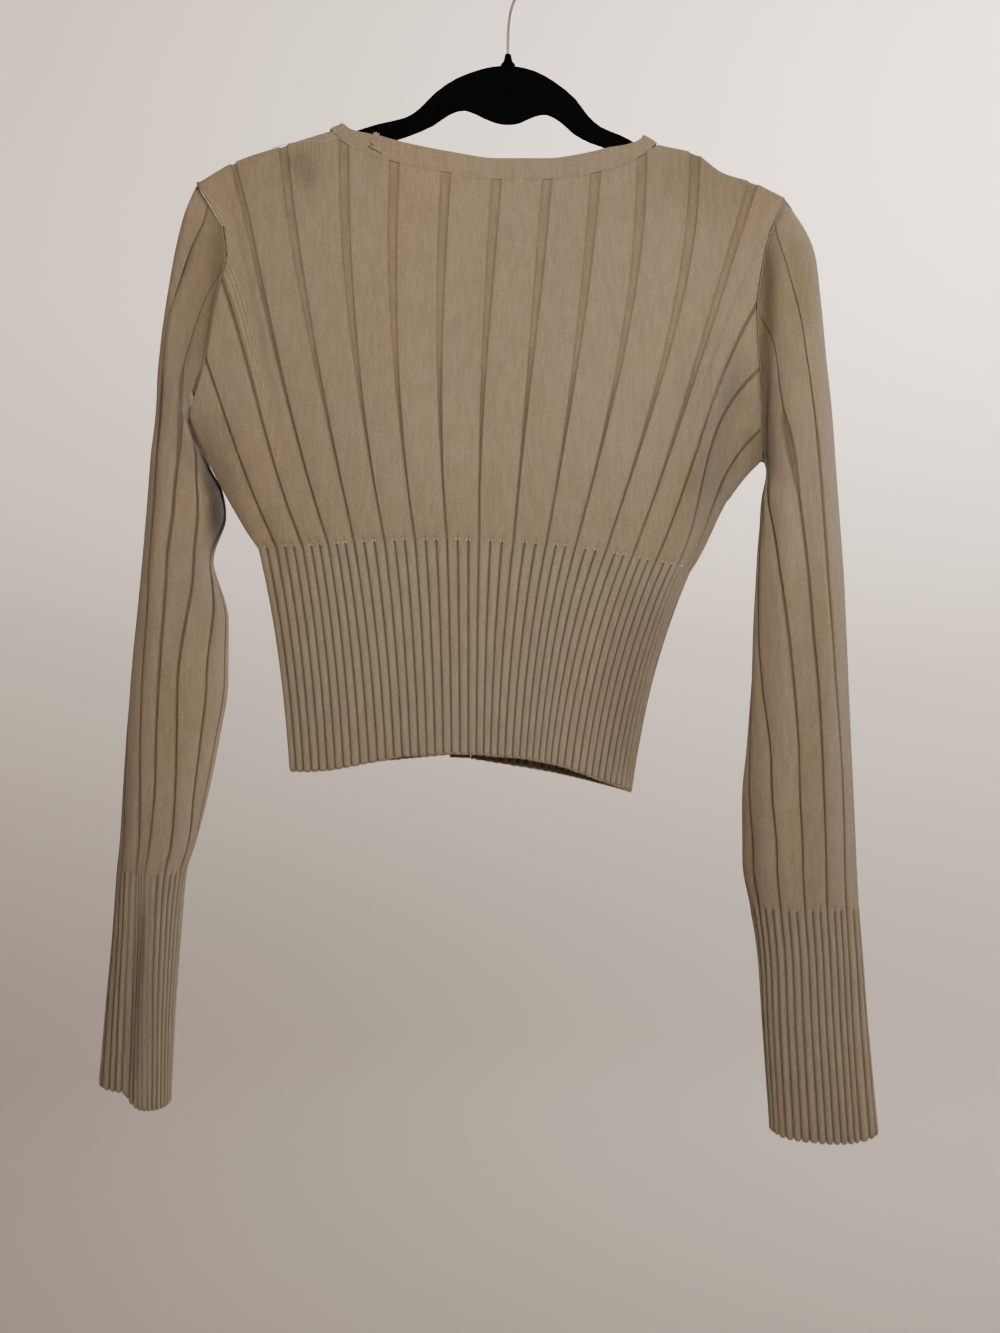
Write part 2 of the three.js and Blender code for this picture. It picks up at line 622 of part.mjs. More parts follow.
// ---- hanger ----
const outlineSteps = 110;
function hangerOutline() {
  const top = [
    [-212, -184], [-205, -175.5], [-191, -167.5], [-157, -156], [-125, -147.5], [-116, -144.8],
    [-109, -141.8], [-91, -136], [-72, -131.5], [-63, -126], [-51, -114], [-36, -104],
    [-20, -98], [-8, -95.5], [5, -95.5], [19, -99], [32, -106], [47, -118], [56, -130],
    [65, -138], [78, -143.5], [86, -147.5], [97, -154], [113, -160], [128, -162],
    [139, -169], [150, -176], [162, -179], [176, -186], [188, -193.5],
  ];
  const below = [
    [186, -203], [168, -198], [140, -190], [110, -175], [88, -163], [71, -154], [57, -149],
    [46, -143], [37, -135], [27, -129.5], [18, -131], [8, -135.5], [0, -136.5], [-8, -135.5],
    [-17, -132], [-30, -126.5], [-40, -129], [-52, -137], [-68, -144], [-84, -149], [-110, -155],
    [-135, -162], [-165, -172], [-190, -182], [-207, -191],
  ];
  const points = [...top, ...below].map(([x, z]) => new THREE.Vector3(x, z, 0));
  const outline = new THREE.CatmullRomCurve3(points, true, 'centripetal').getPoints(outlineSteps);
  return new THREE.Shape(outline.slice(0, -1).map((point) => new THREE.Vector2(point.x, point.y)));
}

function hangerGeometry() {
  const flat = hangerThickness - 2 * hangerEdge;
  const geometry = new THREE.ExtrudeGeometry(hangerOutline(), {
    depth: flat,
    bevelThickness: hangerEdge,
    bevelSize: hangerEdge,
    bevelOffset: -hangerEdge,
    bevelSegments: 1,
  });
  geometry.translate(0, 0, -flat / 2);
  geometry.rotateX(Math.PI / 2);
  return geometry;
}

const neckFoot = -94.9;
const neckTop = -87;
function hangerNeckGeometry() {
  const foot = neckFoot + seamGap;
  const profile = [[0, foot], [5.2, foot], [3.4, foot + 2.2], [2.2, neckTop], [0, neckTop]];
  const geometry = new THREE.LatheGeometry(profile.map(([r, z]) => new THREE.Vector2(r, z)), 16);
  geometry.rotateX(Math.PI / 2);
  return geometry;
}

function hookGeometry() {
  const round = hookInner + hookWire / 2;
  const points = [[0, neckTop + seamGap], [0.2, -74], [1.2, -62], [4, -51]];
  const steps = 9;
  for (let i = 0; i <= steps; i += 1) {
    const angle = THREE.MathUtils.degToRad(lerp(-58, 196, i / steps));
    points.push([round * Math.cos(angle), -hookInner + round * Math.sin(angle)]);
  }
  const places = points.map(([x, z]) => new THREE.Vector3(x, 0, z));
  const path = new THREE.CatmullRomCurve3(places, false, 'centripetal');
  const section = new THREE.Shape().absarc(0, 0, hookWire / 2, 0, 2 * Math.PI, false);
  return new THREE.ExtrudeGeometry(section, { extrudePath: path, steps: 44, curveSegments: 5 });
}

// ---- the group ----
const knit = () => new THREE.MeshStandardMaterial({ color: knitColour, roughness: 0.95, metalness: 0 });
const group = new THREE.Group();
function add(name, geometry, material) {
  const mesh = new THREE.Mesh(geometry, material);
  mesh.name = name;
  group.add(mesh);
  return mesh;
}

add('back', shell(back.grid, false), knit());
add('front_left', shell(frontLeft.grid, false), knit());
add('front_right', shell(frontRight.grid, false), knit());
add('neckband', shell(neckbandRows(), false), knit());
const innerLeft = frontLeft.ribs.length - 1;
const buttonSide = frontBandRows(frontLeft, innerLeft, veeLeftRibs.length, -1, 0, neckEnds.left);
const holeSide = frontBandRows(frontRight, 0, veeRightRibs.length, 1, lap, neckEnds.right);
add('button_band', shell(buttonSide, false), knit());
add('buttonhole_band', shell(holeSide, false), knit());

const half = leftArmRibs.length - 1;
const ringLeft = armholeRing(frontLeft, leftArmRibs.slice().reverse(), -seamGap);
const ringRight = armholeRing(frontRight, rightArmRibs, seamGap);
add('sleeve_left', shell(sleeveRows(ringLeft, half, sleeveLeftSections), true), knit());
add('sleeve_right', shell(sleeveRows(ringRight, half, sleeveRightSections), true), knit());

const plastic = () => new THREE.MeshStandardMaterial({ color: buttonColour, roughness: 0.4, metalness: 0 });
const firstButton = { x: -15, z: -338 };
const lastButton = { x: -33, z: -572 };
for (let i = 0; i < buttonCount; i += 1) {
  const z = lerp(firstButton.z, lastButton.z, i / (buttonCount - 1));
  const x = lerp(firstButton.x, lastButton.x, i / (buttonCount - 1));
  const face = Math.max(...[-1, 0, 1].map((up) => standOff(x, z + up * buttonRadius))) + halfGap + lap;
  const disc = new THREE.CylinderGeometry(buttonRadius, buttonRadius, buttonThickness, 16);
  const button = add(`button_${i + 1}`, disc, plastic());
  button.position.set(x, face + 2 * seamGap + buttonThickness / 2, z);
}

const flock = () => new THREE.MeshStandardMaterial({ color: hangerColour, roughness: 1, metalness: 0 });
add('hanger_body', hangerGeometry(), flock());
add('hanger_neck', hangerNeckGeometry(), flock());
const plated = new THREE.MeshStandardMaterial({ color: chromeColour, roughness: 0.2, metalness: 1 });
add('hanger_hook', hookGeometry(), plated);

export default group;
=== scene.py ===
# A cropped rib-knit cardigan on a slim flocked hanger, seen from its back.
# Tables and shapes are in mm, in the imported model's own frame: origin at the hook's seat, +Z up,
# the garment's back towards -Y, its left side at -X. Meshes are made in metres.
import math

import bmesh
import bpy
import numpy as np
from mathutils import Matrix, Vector


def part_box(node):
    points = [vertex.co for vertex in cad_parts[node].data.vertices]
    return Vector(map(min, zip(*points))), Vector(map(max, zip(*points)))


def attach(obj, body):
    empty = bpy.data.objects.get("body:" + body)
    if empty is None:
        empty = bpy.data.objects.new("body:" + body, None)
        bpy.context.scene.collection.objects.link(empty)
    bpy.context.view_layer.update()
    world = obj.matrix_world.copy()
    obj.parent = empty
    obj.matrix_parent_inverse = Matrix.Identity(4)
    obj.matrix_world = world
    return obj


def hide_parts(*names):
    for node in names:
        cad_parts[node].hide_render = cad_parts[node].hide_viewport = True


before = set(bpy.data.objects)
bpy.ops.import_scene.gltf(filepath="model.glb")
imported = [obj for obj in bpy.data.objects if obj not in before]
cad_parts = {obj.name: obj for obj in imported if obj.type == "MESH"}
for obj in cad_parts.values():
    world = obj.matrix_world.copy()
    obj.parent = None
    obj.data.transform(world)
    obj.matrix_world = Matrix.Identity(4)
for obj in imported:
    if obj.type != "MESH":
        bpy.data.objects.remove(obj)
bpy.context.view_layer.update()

# ---- driving dimensions ----
MM = 0.001
CLOTH = 1.7                  # wall of the knit between its outer and inner face
HALF_GAP = 0.15              # half the gap between pieces at a seam
SHOULDER_ROLL = 5.4          # cloth rounding over the hanger's arm
LAP = 2.3                    # the buttonhole side lies this much over the button side
LAP_REACH = 40
BAND_WIDTH = 15
BAND_END = 10                # band width where it turns over the shoulder seam
NARROW_DEPTH = 1.25          # grooves of the waistband and cuffs
NARROW_PER_WIDE = 3          # narrow ribs under each wide one
SLEEVE_RIBS = 10             # wide ribs round a sleeve
SLEEVE_OPENING = 0.12        # how far a sleeve's channels stand open, 0 to 1
WALES_PER_RIB = 24
BAND_RIB, BAND_WALES = 35, 25    # run of band that counts as one rib, and its wales
COURSE = 1.05                # height of a knitted row
UV_PER_MM = 0.01             # of the knit's length in its UV map
ROW_STEP = 3.3               # mesh rows
EDGE_RUN, EDGE_FALL = 1.4, 0.8       # run over which a hem rounds off, and how far it falls in
HEM_SCALLOP, CUFF_SCALLOP = 0.8, 0.9     # how much lower ribs end than grooves, by their relief
SCALLOP_RUN = 4              # and the run over which their ends drop
ARMHOLE_CALM = 16            # run of sleeve over which its ribs rise to their height
CREASE_START = 9             # and the run over which its creases set in
UNDERARM_PASSES = 30         # times the crowded rows at the underarm are evened out
UNDERARM_REACH = 36          # how far round the underarm corner that is done
UNDERARM_END = 100           # run of sleeve past which its rows lie well apart
CUFF_SAG = 60                # run of sleeve over which the cuff's end hangs out of line
FAR = 999.0                  # a distance past the reach of any edge
# Where the panels' edges meet, in ribs counted from the left of the back.
LEFT_SIDE, ARMHOLE_TURN, LEFT_SHOULDER, LEFT_NECK = -0.67, 1.3, 1.42, 3.74
RIGHT_NECK, RIGHT_SHOULDER, RIGHT_SIDE = 10.36, 12.45, 15.67
LEFT_FRONT, RIGHT_FRONT = 6.5, 7.5


def table(columns, *rows):
    """A short table as named columns."""
    return dict(zip(columns.split(), np.array(rows, float).T))


# ---- tables: ribs are counted from the left of the back ----
BACK_RIBS = table(
    "rib hem hem_z waist waist_z lean",
    (-0.67, -153, -588, -175, -433, 0.60),
    (0, -142, -588, -161, -433, 0.45),
    (1, -125, -587, -142, -432.5, 0.40),
    (2, -108, -584, -124, -431.5, 0.32),
    (3, -90, -580.5, -106, -430.5, 0.20),
    (4, -73, -577, -85, -429.5, 0.18),
    (5, -56, -576, -64, -429, 0.14),
    (6, -39, -575, -42, -429, 0.08),
    (7, -22, -575.5, -20, -429.5, 0),
    (8, -7.5, -577, 3.5, -430.5, -0.09),
    (9, 7.7, -578, 26, -432, -0.18),
    (10, 21, -580.5, 46, -434, -0.26),
    (11, 33.5, -583, 67, -437, -0.32),
    (12, 48.5, -588, 85.5, -440, -0.37),
    (13, 62, -593, 102, -443, -0.43),
    (14, 74.5, -597.5, 117, -446, -0.50),
    (15, 83.5, -601, 124, -448, -0.65),
    (15.67, 86.5, -603, 128, -449, -0.70),
)
FRONT_LEFT_RIBS = table(
    "rib hem hem_z waist waist_z lean",
    (-0.67, -153, -588, -175, -433, 0.60),
    (6.5, -41.5, -577.5, -32.5, -431, 0.06),
)
FRONT_RIGHT_RIBS = table(
    "rib hem hem_z waist waist_z lean",
    (7.5, -26.5, -580.5, -17.5, -432, -0.06),
    (11, 34, -590.5, 64, -440, -0.32),
    (15.67, 86.5, -603, 128, -449, -0.70),
)
# How far a rib leans sideways for each mm down at its top end.
BACK_LEANS = table(
    "rib lean",
    (-0.67, 0.38), (1, 0.36), (1.3, 0.38), (1.42, 0.37), (2, 0.22), (3, 0.10), (4, 0),
    (6, -0.06), (9, -0.08), (10, 0), (11, 0), (12, -0.32), (12.45, -0.60), (12.8, -0.55),
    (13, -0.60), (14, -1.10), (15.67, -1.20),
)
FRONT_LEANS = table(
    "rib lean",
    (-0.67, 0.38), (1, 0.36), (1.3, 0.38), (1.42, 0.37), (2.2, 0.20), (3.74, 0.14),
    (6.5, 0.08), (7.5, -0.04), (10.36, -0.10), (11.8, -0.34), (12.45, -0.60), (12.8, -0.55),
    (13, -0.60), (14, -1.10), (15.67, -1.20),
)
# How much more the ribs at the left shoulder point lean in their last few mm.
TOP_HOOK = table(
    "rib lean", (1, 0), (1.15, 0.31), (1.3, 0.42), (1.42, 0.95), (1.7, 0.42), (2.2, 0),
)
TOP_HOOK_LENGTH = 10.4
# The panels' top edges, from the left underarm to the right one.
ARMHOLE_LEFT = table(
    "rib x z",
    (-0.67, -223, -340), (0, -210, -302), (0.5, -204, -270), (1, -199, -247),
    (1.15, -195, -232), (1.3, -198, -209), (1.36, -207, -193), (1.42, -218, -178),
)
SHOULDER_LEFT = table(
    "rib x z", (1.42, -218, -178), (2, -192, -163), (3, -157, -151), (3.74, -125, -141),
)
BACK_NECK = table(
    "rib x z",
    (3.74, -125, -141), (3.85, -120.5, -145.5), (4, -114, -151), (4.5, -96, -159.5),
    (5, -79, -164.5), (6, -43, -172), (7, -8, -177), (8, 27, -177), (9, 61, -172),
    (9.6, 80, -166.5), (10, 93, -160), (10.22, 99.5, -155), (10.36, 104, -150.5),
)
SHOULDER_RIGHT = table(
    "rib x z",
    (10.36, 104, -150.5), (11, 130, -156.5), (11.5, 150, -170.5), (12, 171, -177),
    (12.45, 194, -188),
)
ARMHOLE_RIGHT = table(
    "rib x z",
    (12.45, 194, -188), (12.6, 183, -210), (12.8, 176, -237), (13, 172, -266), (14, 174, -310),
    (15, 176, -351), (15.67, 178, -371),
)
VEE_LEFT = table(
    "rib x z",
    (3.74, -125, -141), (3.85, -124, -147.5), (4.4, -113, -172), (5.1, -88, -224),
    (5.8, -58, -276), (6.5, -21.5, -330),
)
VEE_RIGHT = table(
    "rib x z",
    (7.5, -6.5, -330), (8.3, 34, -280), (9, 66, -230), (9.7, 92, -182), (10.25, 103.2, -157),
    (10.36, 104, -150.5),
)
NECK_CLEARANCE = table(
    "x z", (-125, -141), (-119, -134), (-100, -128), (80, -137), (98, -143), (104, -150.5),
)
NECK_ENDS = {"left": (-116, -138.5), "right": (93.5, -145.5)}
# The widest line of the body, and how far front and back swell from the middle plane.
BODY_WIDTHS = table(
    "z left right swell",
    (-610, -153, 88, 12), (-520, -160, 102, 13), (-440, -175, 131, 14), (-400, -196, 152, 19),
    (-370, -212, 179, 21), (-340, -224, 190, 20), (-280, -228, 196, 15), (-230, -230, 200, 9),
    (-185, -232, 206, 3), (-140, -234, 210, 0),
)
# The left shoulder point, drawn out by the hanger's end: its place at rest, how far, how wide.
SHOULDER_PULL = {"x": -209.6, "z": -184.9, "out": -8.4, "up": 6.9, "reach": 16.4}
SIDE_FOLD = {"top_x": 154, "top_z": -270, "foot_x": 116, "foot_z": -450, "height": 7, "width": 9}
# Sleeve sections from the armhole down: outer and inner edge, the middle's depth, how deep the
# tube is, and how much of the armhole's own curve is left in the section.
SLEEVE_COLUMNS = "out_x out_z in_x in_z mid_y deep ring"
SLEEVE_LEFT = [
    (-225, -192, -224, -344, 1, 27, 0.42), (-232, -220, -225, -349, 3, 33, 0.14),
    (-238, -253, -225, -355, 5, 38, 0.03), (-243, -290, -217, -364, 6, 42, 0),
    (-247, -328, -210, -378, 7, 45, 0), (-250, -365, -202, -394, 7, 48, 0),
    (-253, -405, -199, -411, 7, 50, 0), (-256, -442, -208, -441, 7, 52, 0),
    (-260, -484, -198, -484, 6, 53, 0), (-264, -525, -198, -525, 5, 54, 0),
    (-267, -565, -204, -565, 5, 54, 0), (-269, -605, -212, -605, 4, 54, 0),
    (-271, -640, -221, -640, 4, 53, 0), (-273, -658, -227, -660, 4, 51, 0),
    (-276, -700, -231, -703, 4, 50, 0), (-281, -752, -235, -758, 4, 50, 0),
    (-286, -807, -238, -819, 4, 50, 0),
]
SLEEVE_RIGHT = [
    (204, -205, 178.5, -373, -3, 30, 0.42), (213, -229, 179, -376, -6, 38, 0.14),
    (216, -262, 179.5, -380, -8, 44, 0.03), (219, -300, 179, -385, -9, 48, 0),
    (223, -338, 178, -393, -9, 50, 0), (226, -376, 176.5, -405, -8, 51, 0),
    (229, -414, 175, -424, -7, 52, 0), (232, -452, 173.5, -455, -6, 53, 0),
    (234, -490, 172, -490, -5, 54, 0), (236, -530, 170.5, -530, -4, 54, 0),
    (238, -570, 168, -570, -3, 53, 0), (240, -610, 164.5, -610, -3, 50, 0),
    (242, -650, 164.5, -650, -3, 44, 0), (244, -684, 170, -684, -3, 34, 0),
    (247, -718, 175, -718, -3, 29, 0), (251, -767, 178, -767, -3, 27, 0),
    (258, -840, 183, -839, -3, 26, 0),
]
CUFF_SECTION = 14            # the section where the cuff's narrow ribs begin
SLEEVE_FOLD_HEIGHT = 1.8
# How wide the channels of a panel's ribs stand open at the top, 0 to 1.
RIB_OPENINGS = table(
    "rib open", (-0.67, 0.12), (1, 0.18), (2, 0.42), (3, 0.82), (4, 0.96), (11, 1), (12, 0.8),
    (13, 0.25), (15.67, 0.1),
)
# Where each rib line of a sleeve lies round it, in degrees from the outer edge over the back,
# by section: the lines come out of the armhole one after another and run down the sleeve.
SLEEVE_LEFT_RIBS = table(
    "at r0 r1 r2 r3 r4 r5 r6 r7 r8 r9",
    (0, 17, 70, 138, 177, 179, 181, 182, 232, 298, 349),
    (1, 38, 102, 158, 178, 179, 181, 182, 215, 282, 332),
    (2, 47, 115, 165, 178, 179, 181, 182, 210, 272, 325),
    (3, 48, 120, 167, 178, 179, 181, 183, 212, 274, 322),
    (4, 47, 108, 150, 177, 179, 181, 185, 220, 280, 326),
    (5, 46, 98, 130, 176, 179, 182, 190, 236, 287, 331),
    (6, 43, 85, 118, 175, 179, 184, 203, 250, 293, 336),
    (7, 43, 80, 117, 172, 179, 188, 217, 257, 297, 340),
    (8, 49, 83, 129, 166, 178, 195, 226, 261, 302, 350),
    (9, 49, 75, 104, 141, 172, 201, 232, 266, 308, 357),
    (10, 51, 75, 97, 134, 168, 203, 237, 273, 316, 368),
    (11, 57, 79, 105, 137, 168, 203, 240, 278, 324, 378),
    (12, 66, 86, 115, 143, 170, 204, 243, 284, 332, 388),
    (13, 74, 89, 124, 157, 182, 212, 248, 290, 340, 397),
    (14, 77, 91, 126, 158, 188, 220, 256, 297, 345, 401),
    (15, 81, 97, 126, 155, 186, 220, 258, 300, 348, 406),
    (16, 88, 106, 131, 157, 188, 222, 260, 303, 352, 412),
    (17, 94, 115, 140, 166, 195, 228, 266, 308, 356, 419),
)
SLEEVE_RIGHT_RIBS = table(
    "at r0 r1 r2 r3 r4 r5 r6 r7 r8 r9",
    (0, 3, 19, 82, 176, 178, 180, 182, 225, 290, 336),
    (1, -2, 50, 97, 176, 178, 180, 182, 215, 272, 320),
    (2, -6, 69, 113, 176, 178, 180, 182, 210, 266, 314),
    (3, -8, 73, 117, 176, 178, 180, 184, 212, 267, 312),
    (4, -9, 71, 114, 175, 178, 181, 188, 222, 270, 312),
    (5, -9, 69, 109, 169, 177, 182, 197, 233, 275, 314),
    (6, -9, 66, 102, 156, 176, 183, 208, 243, 280, 317),
    (7, -9, 64, 95, 140, 174, 187, 216, 249, 284, 319),
    (8, -9, 62, 88, 127, 172, 193, 221, 253, 287, 321),
    (9, -8, 57, 83, 115, 165, 197, 224, 255, 289, 322),
    (10, -7, 52, 77, 106, 150, 186, 222, 256, 290, 323),
    (11, -5, 46, 73, 99, 133, 172, 212, 250, 288, 323),
    (12, -3, 43, 70, 95, 125, 158, 200, 243, 285, 323),
    (13, 0, 44, 69, 93, 120, 151, 193, 238, 283, 322),
    (14, 1, 45, 71, 95, 122, 153, 193, 237, 282, 322),
    (17, 6, 52, 76, 100, 128, 162, 198, 238, 282, 324),
)
# How much lower the cuff's end hangs than a straight one.
CUFF_END_LEFT = table(
    "x drop", (-290, 0), (-277, -3), (-264, -5), (-259, 1), (-252, 4.5), (-244, 4), (-236, 1.5),
)
CUFF_END_RIGHT = table(
    "x drop", (181, -2), (190, 2), (206, 3.5), (230, 4.5), (248, 3), (260, 0),
)
# Creases: height (ridge) or depth (trough), width, and the line that they follow, as x and z.
BACK_CREASES = [
    (-2.6, 10, [(-148, -158), (-146, -172), (-138, -190)]),
    (1.0, 8, [(-130, -156), (-131, -174), (-124, -194)]),
    (-1.0, 7, [(8, -182), (2, -190), (-6, -194)]),
    (-0.7, 5, [(22, -183), (18, -190)]),
    (-1.6, 13, [(126, -250), (112, -330), (98, -410)]),
    (1.3, 20, [(60, -220), (40, -310), (36, -400)]),
    (-1.2, 24, [(-40, -230), (-34, -320), (-20, -400)]),
    (1.2, 22, [(-90, -230), (-80, -330), (-76, -410)]),
    (-1.5, 16, [(-150, -240), (-150, -320), (-140, -400)]),
    (-2.2, 6, [(166, -300), (150, -330), (139, -356)]),
    (-1.6, 6, [(170, -352), (156, -378), (143, -398)]),
    (1.6, 9, [(-204, -340), (-190, -380), (-176, -416)]),
    (-1.5, 7, [(-172, -410), (-166, -432), (-158, -452)]),
]
FRONT_CREASES = [
    (-2.0, 12, [(-170, -230), (-150, -300), (-120, -360)]),
    (1.6, 14, [(-130, -240), (-110, -330), (-96, -410)]),
    (-1.6, 12, [(150, -240), (128, -310), (96, -380)]),
    (1.6, 15, [(108, -240), (92, -330), (70, -410)]),
    (-1.6, 8, [(-196, -330), (-168, -352), (-140, -366)]),
    (-1.6, 8, [(166, -340), (140, -362), (112, -380)]),
    (-1.4, 10, [(-60, -300), (-62, -350), (-58, -410)]),
    (-1.2, 9, [(40, -300), (34, -350), (28, -400)]),
]
# Painted shade that gathers where the cloth turns in on itself: strength, width and the line.
MOST_SHADE = 0.9
BACK_HOLLOWS = [
    (0.34, 22, [(176, -300), (164, -350), (150, -388), (132, -440)]),
    (0.30, 9, [(160, -292), (148, -338), (139, -376), (132, -402), (125, -438)]),
    (0.55, 10, [(178, -352), (176, -372), (168, -392)]),
    (0.26, 11, [(-146, -154), (-143, -170), (-136, -188)]),
    (0.16, 34, [(-214, -188), (-160, -164), (-100, -158)]),
    (0.27, 34, [(92, -160), (156, -178), (206, -204)]),
    (0.30, 16, [(-206, -330), (-196, -368), (-180, -410)]),
    (0.34, 26, [(104, -450), (90, -520), (80, -620)]),
]
FRONT_HOLLOWS = [
    (0.30, 14, [(-200, -300), (-180, -350), (-150, -380)]),
    (0.30, 14, [(170, -320), (150, -360), (120, -390)]),
]
SLEEVE_LEFT_CREASES = {
    "back": [
        (-5.0, 5, [(-206, -196), (-202, -223), (-201, -252), (-204, -276), (-206, -298)]),
        (-3.2, 4, [(-210, -190), (-219, -221), (-228, -246), (-236, -272)]),
        (-3.6, 4, [(-203, -241), (-214, -260), (-221, -284), (-228, -307), (-234, -336)]),
        (2.6, 7, [(-208, -208), (-213, -232), (-222, -262)]),
        (2.4, 7, [(-208, -262), (-214, -290), (-222, -330), (-228, -360)]),
        (-2.0, 5, [(-212, -378), (-214, -400), (-220, -430)]),
        (-4.5, 4.5, [(-252, -668), (-254, -712), (-257, -762), (-260, -830)]),
        (2.0, 6, [(-242, -680), (-243, -740), (-249, -830)]),
    ],
    "front": [
        (-4.0, 5, [(-208, -200), (-205, -240), (-211, -300)]),
        (-3.0, 6, [(-212, -196), (-224, -232), (-236, -280)]),
        (-2.6, 7, [(-206, -262), (-218, -300), (-228, -350)]),
        (2.0, 10, [(-236, -330), (-240, -420), (-246, -500)]),
        (-2.0, 9, [(-214, -420), (-220, -480), (-232, -560)]),
    ],
}
# Painted shade in the hollows of the left sleeve: strength, width and the line.
SLEEVE_LEFT_HOLLOWS = [
    (0.62, 6, [(-206, -194), (-202, -223), (-201, -252), (-205, -279), (-209, -315),
               (-216, -340), (-221, -352)]),
    (0.30, 12, [(-214, -200), (-214, -240), (-218, -290), (-224, -340)]),
    (0.55, 5, [(-252, -676), (-254, -712), (-257, -762), (-260, -835)]),
    (0.35, 12, [(-268, -560), (-274, -640), (-284, -740), (-290, -830)]),
    (0.25, 9, [(-214, -430), (-206, -470), (-206, -510)]),
    # Deep painted shade under the arm, where the sleeve's far half hangs in shadow.
    (3.0, 6.5, [(-212, -350), (-207, -372), (-203.5, -386), (-200, -400), (-200, -414),
                (-205, -440)]),
]
SLEEVE_RIGHT_CREASES = {
    "back": [
        (-5.0, 4, [(186, -205), (181, -232), (178, -265), (177, -300), (177, -345), (180, -382)]),
        (3.6, 7, [(190, -214), (187, -250), (185, -290), (184, -340), (185, -390)]),
        (-2.0, 4, [(188, -203), (194, -218), (198, -248), (206, -284)]),
        (-1.6, 5, [(181, -274), (187, -292), (192, -320)]),
    ],
    "front": [
        (-4.0, 5, [(186, -205), (178, -265), (177, -345)]),
        (-3.0, 6, [(194, -204), (206, -240), (214, -290)]),
        (-2.4, 8, [(186, -300), (196, -360), (206, -430)]),
        (1.8, 10, [(212, -340), (214, -430), (216, -510)]),
    ],
}
# Painted shade in the hollows of the right sleeve: strength, width and the line.
SLEEVE_RIGHT_HOLLOWS = [
    (0.85, 4.5, [(187, -205), (181, -226), (179, -262), (177, -300), (177, -345), (179, -392)]),
    (0.30, 9, [(188, -210), (184, -262), (182, -320), (182, -392)]),
    (0.35, 8, [(172, -560), (168, -620), (170, -700), (182, -850)]),
    (0.18, 30, [(200, -440), (206, -560), (208, -720)]),
    (0.25, 9, [(196, -214), (200, -250), (206, -300)]),
]


# ---- interpolation ----
def lerp(start, end, t):
    """A share t of the way from start to end."""
    return start + (end - start) * t


def smoothstep(low, high, value):
    """0 at low and 1 at high, with a smooth rise between them."""
    t = np.clip((value - low) / (high - low), 0, 1)
    return t * t * (3 - 2 * t)


def bell(gap, width):
    """1 where the gap is 0, dying away on both sides of it."""
    return np.exp(-((gap / width) ** 2))


def hermite(t, span, start, start_slope, end, end_slope):
    """A curve over a span from one value to another, with its slope at each."""
    t2 = t * t
    t3 = t2 * t
    return (start * (2 * t3 - 3 * t2 + 1) + end * (3 * t2 - 2 * t3)
            + span * (start_slope * (t3 - 2 * t2 + t) + end_slope * (t3 - t2)))


def along(rows, key, column, at):
    """A named column of a table at places along its key, on a curve with no overshoot."""
    keys, values = rows[key], rows[column]
    slopes = np.diff(values) / np.diff(keys)
    before, after = slopes[:-1], slopes[1:]
    same_way = before * after > 0
    harmonic = 2 * before * after / np.where(same_way, before + after, 1)
    tangents = np.concatenate([slopes[:1], np.where(same_way, harmonic, 0), slopes[-1:]])
    i = np.clip(np.searchsorted(keys, at, side="right") - 1, 0, len(keys) - 2)
    span = keys[i + 1] - keys[i]
    t = np.clip((at - keys[i]) / span, 0, 1)
    return hermite(t, span, values[i], tangents[i], values[i + 1], tangents[i + 1])


def along_edges(edges, column, rib):
    """The same over several edge tables that follow each other."""
    value = along(edges[0], "rib", column, rib)
    for edge in edges[1:]:
        value = np.where(rib >= edge["rib"][0], along(edge, "rib", column, rib), value)
    return value


def unit(vectors):
    """Each vector at length 1."""
    return vectors / np.maximum(np.linalg.norm(vectors, axis=-1, keepdims=True), 1e-9)


def path_distance(path, x, z):
    """Distance of every place from a line of points, and how far along the line it is, 0 to 1."""
    points = np.array(path, float)
    steps = np.diff(points, axis=0)
    lengths = np.hypot(*steps.T)
    starts = np.concatenate([[0], np.cumsum(lengths)])
    best = np.full(np.shape(x), np.inf)
    run = np.zeros(np.shape(x))
    for start, step, length, offset in zip(points, steps, lengths, starts):
        t = np.clip(((x - start[0]) * step[0] + (z - start[1]) * step[1]) / length ** 2, 0, 1)
        gap = np.hypot(x - start[0] - t * step[0], z - start[1] - t * step[1])
        nearer = gap < best
        best = np.where(nearer, gap, best)
        run = np.where(nearer, (offset + t * length) / starts[-1], run)
    return best, run


def crease_height(creases, x, z):
    """Soft troughs (negative) and ridges along short lines; each fades out at its ends."""
    total = np.zeros(np.shape(x))
    for height, width, path in creases:
        gap, run = path_distance(path, x, z)
        fade = smoothstep(0, 0.3, run + 0.06) * smoothstep(0, 0.45, 1.06 - run)
        total += height * fade * bell(gap, width)
    return total


# ---- the body's surface ----
def shoulder_height(x):
    """Height from which the cloth rounds down."""
    over_neck = along(NECK_CLEARANCE, "x", "z", x)
    left = along(SHOULDER_LEFT, "x", "z", x)
    right = along(SHOULDER_RIGHT, "x", "z", x)
    neck_left, neck_right = NECK_CLEARANCE["x"][[0, -1]]
    return np.where(x < neck_left, left, np.where(x > neck_right, right, over_neck))


def stand_off(x, z):
    """How far the cloth stands from the middle plane."""
    left = along(BODY_WIDTHS, "z", "left", z)
    right = along(BODY_WIDTHS, "z", "right", z)
    across = np.minimum(1, np.abs((2 * x - left - right) / (right - left)))
    fall = np.clip(shoulder_height(x) - z, 0, SHOULDER_ROLL) / SHOULDER_ROLL
    roll = SHOULDER_ROLL * np.sqrt(1 - (1 - fall) ** 2) * np.sqrt(1 - across ** 16)
    return roll + along(BODY_WIDTHS, "z", "swell", z) * (1 - across ** 2.4) ** 0.6


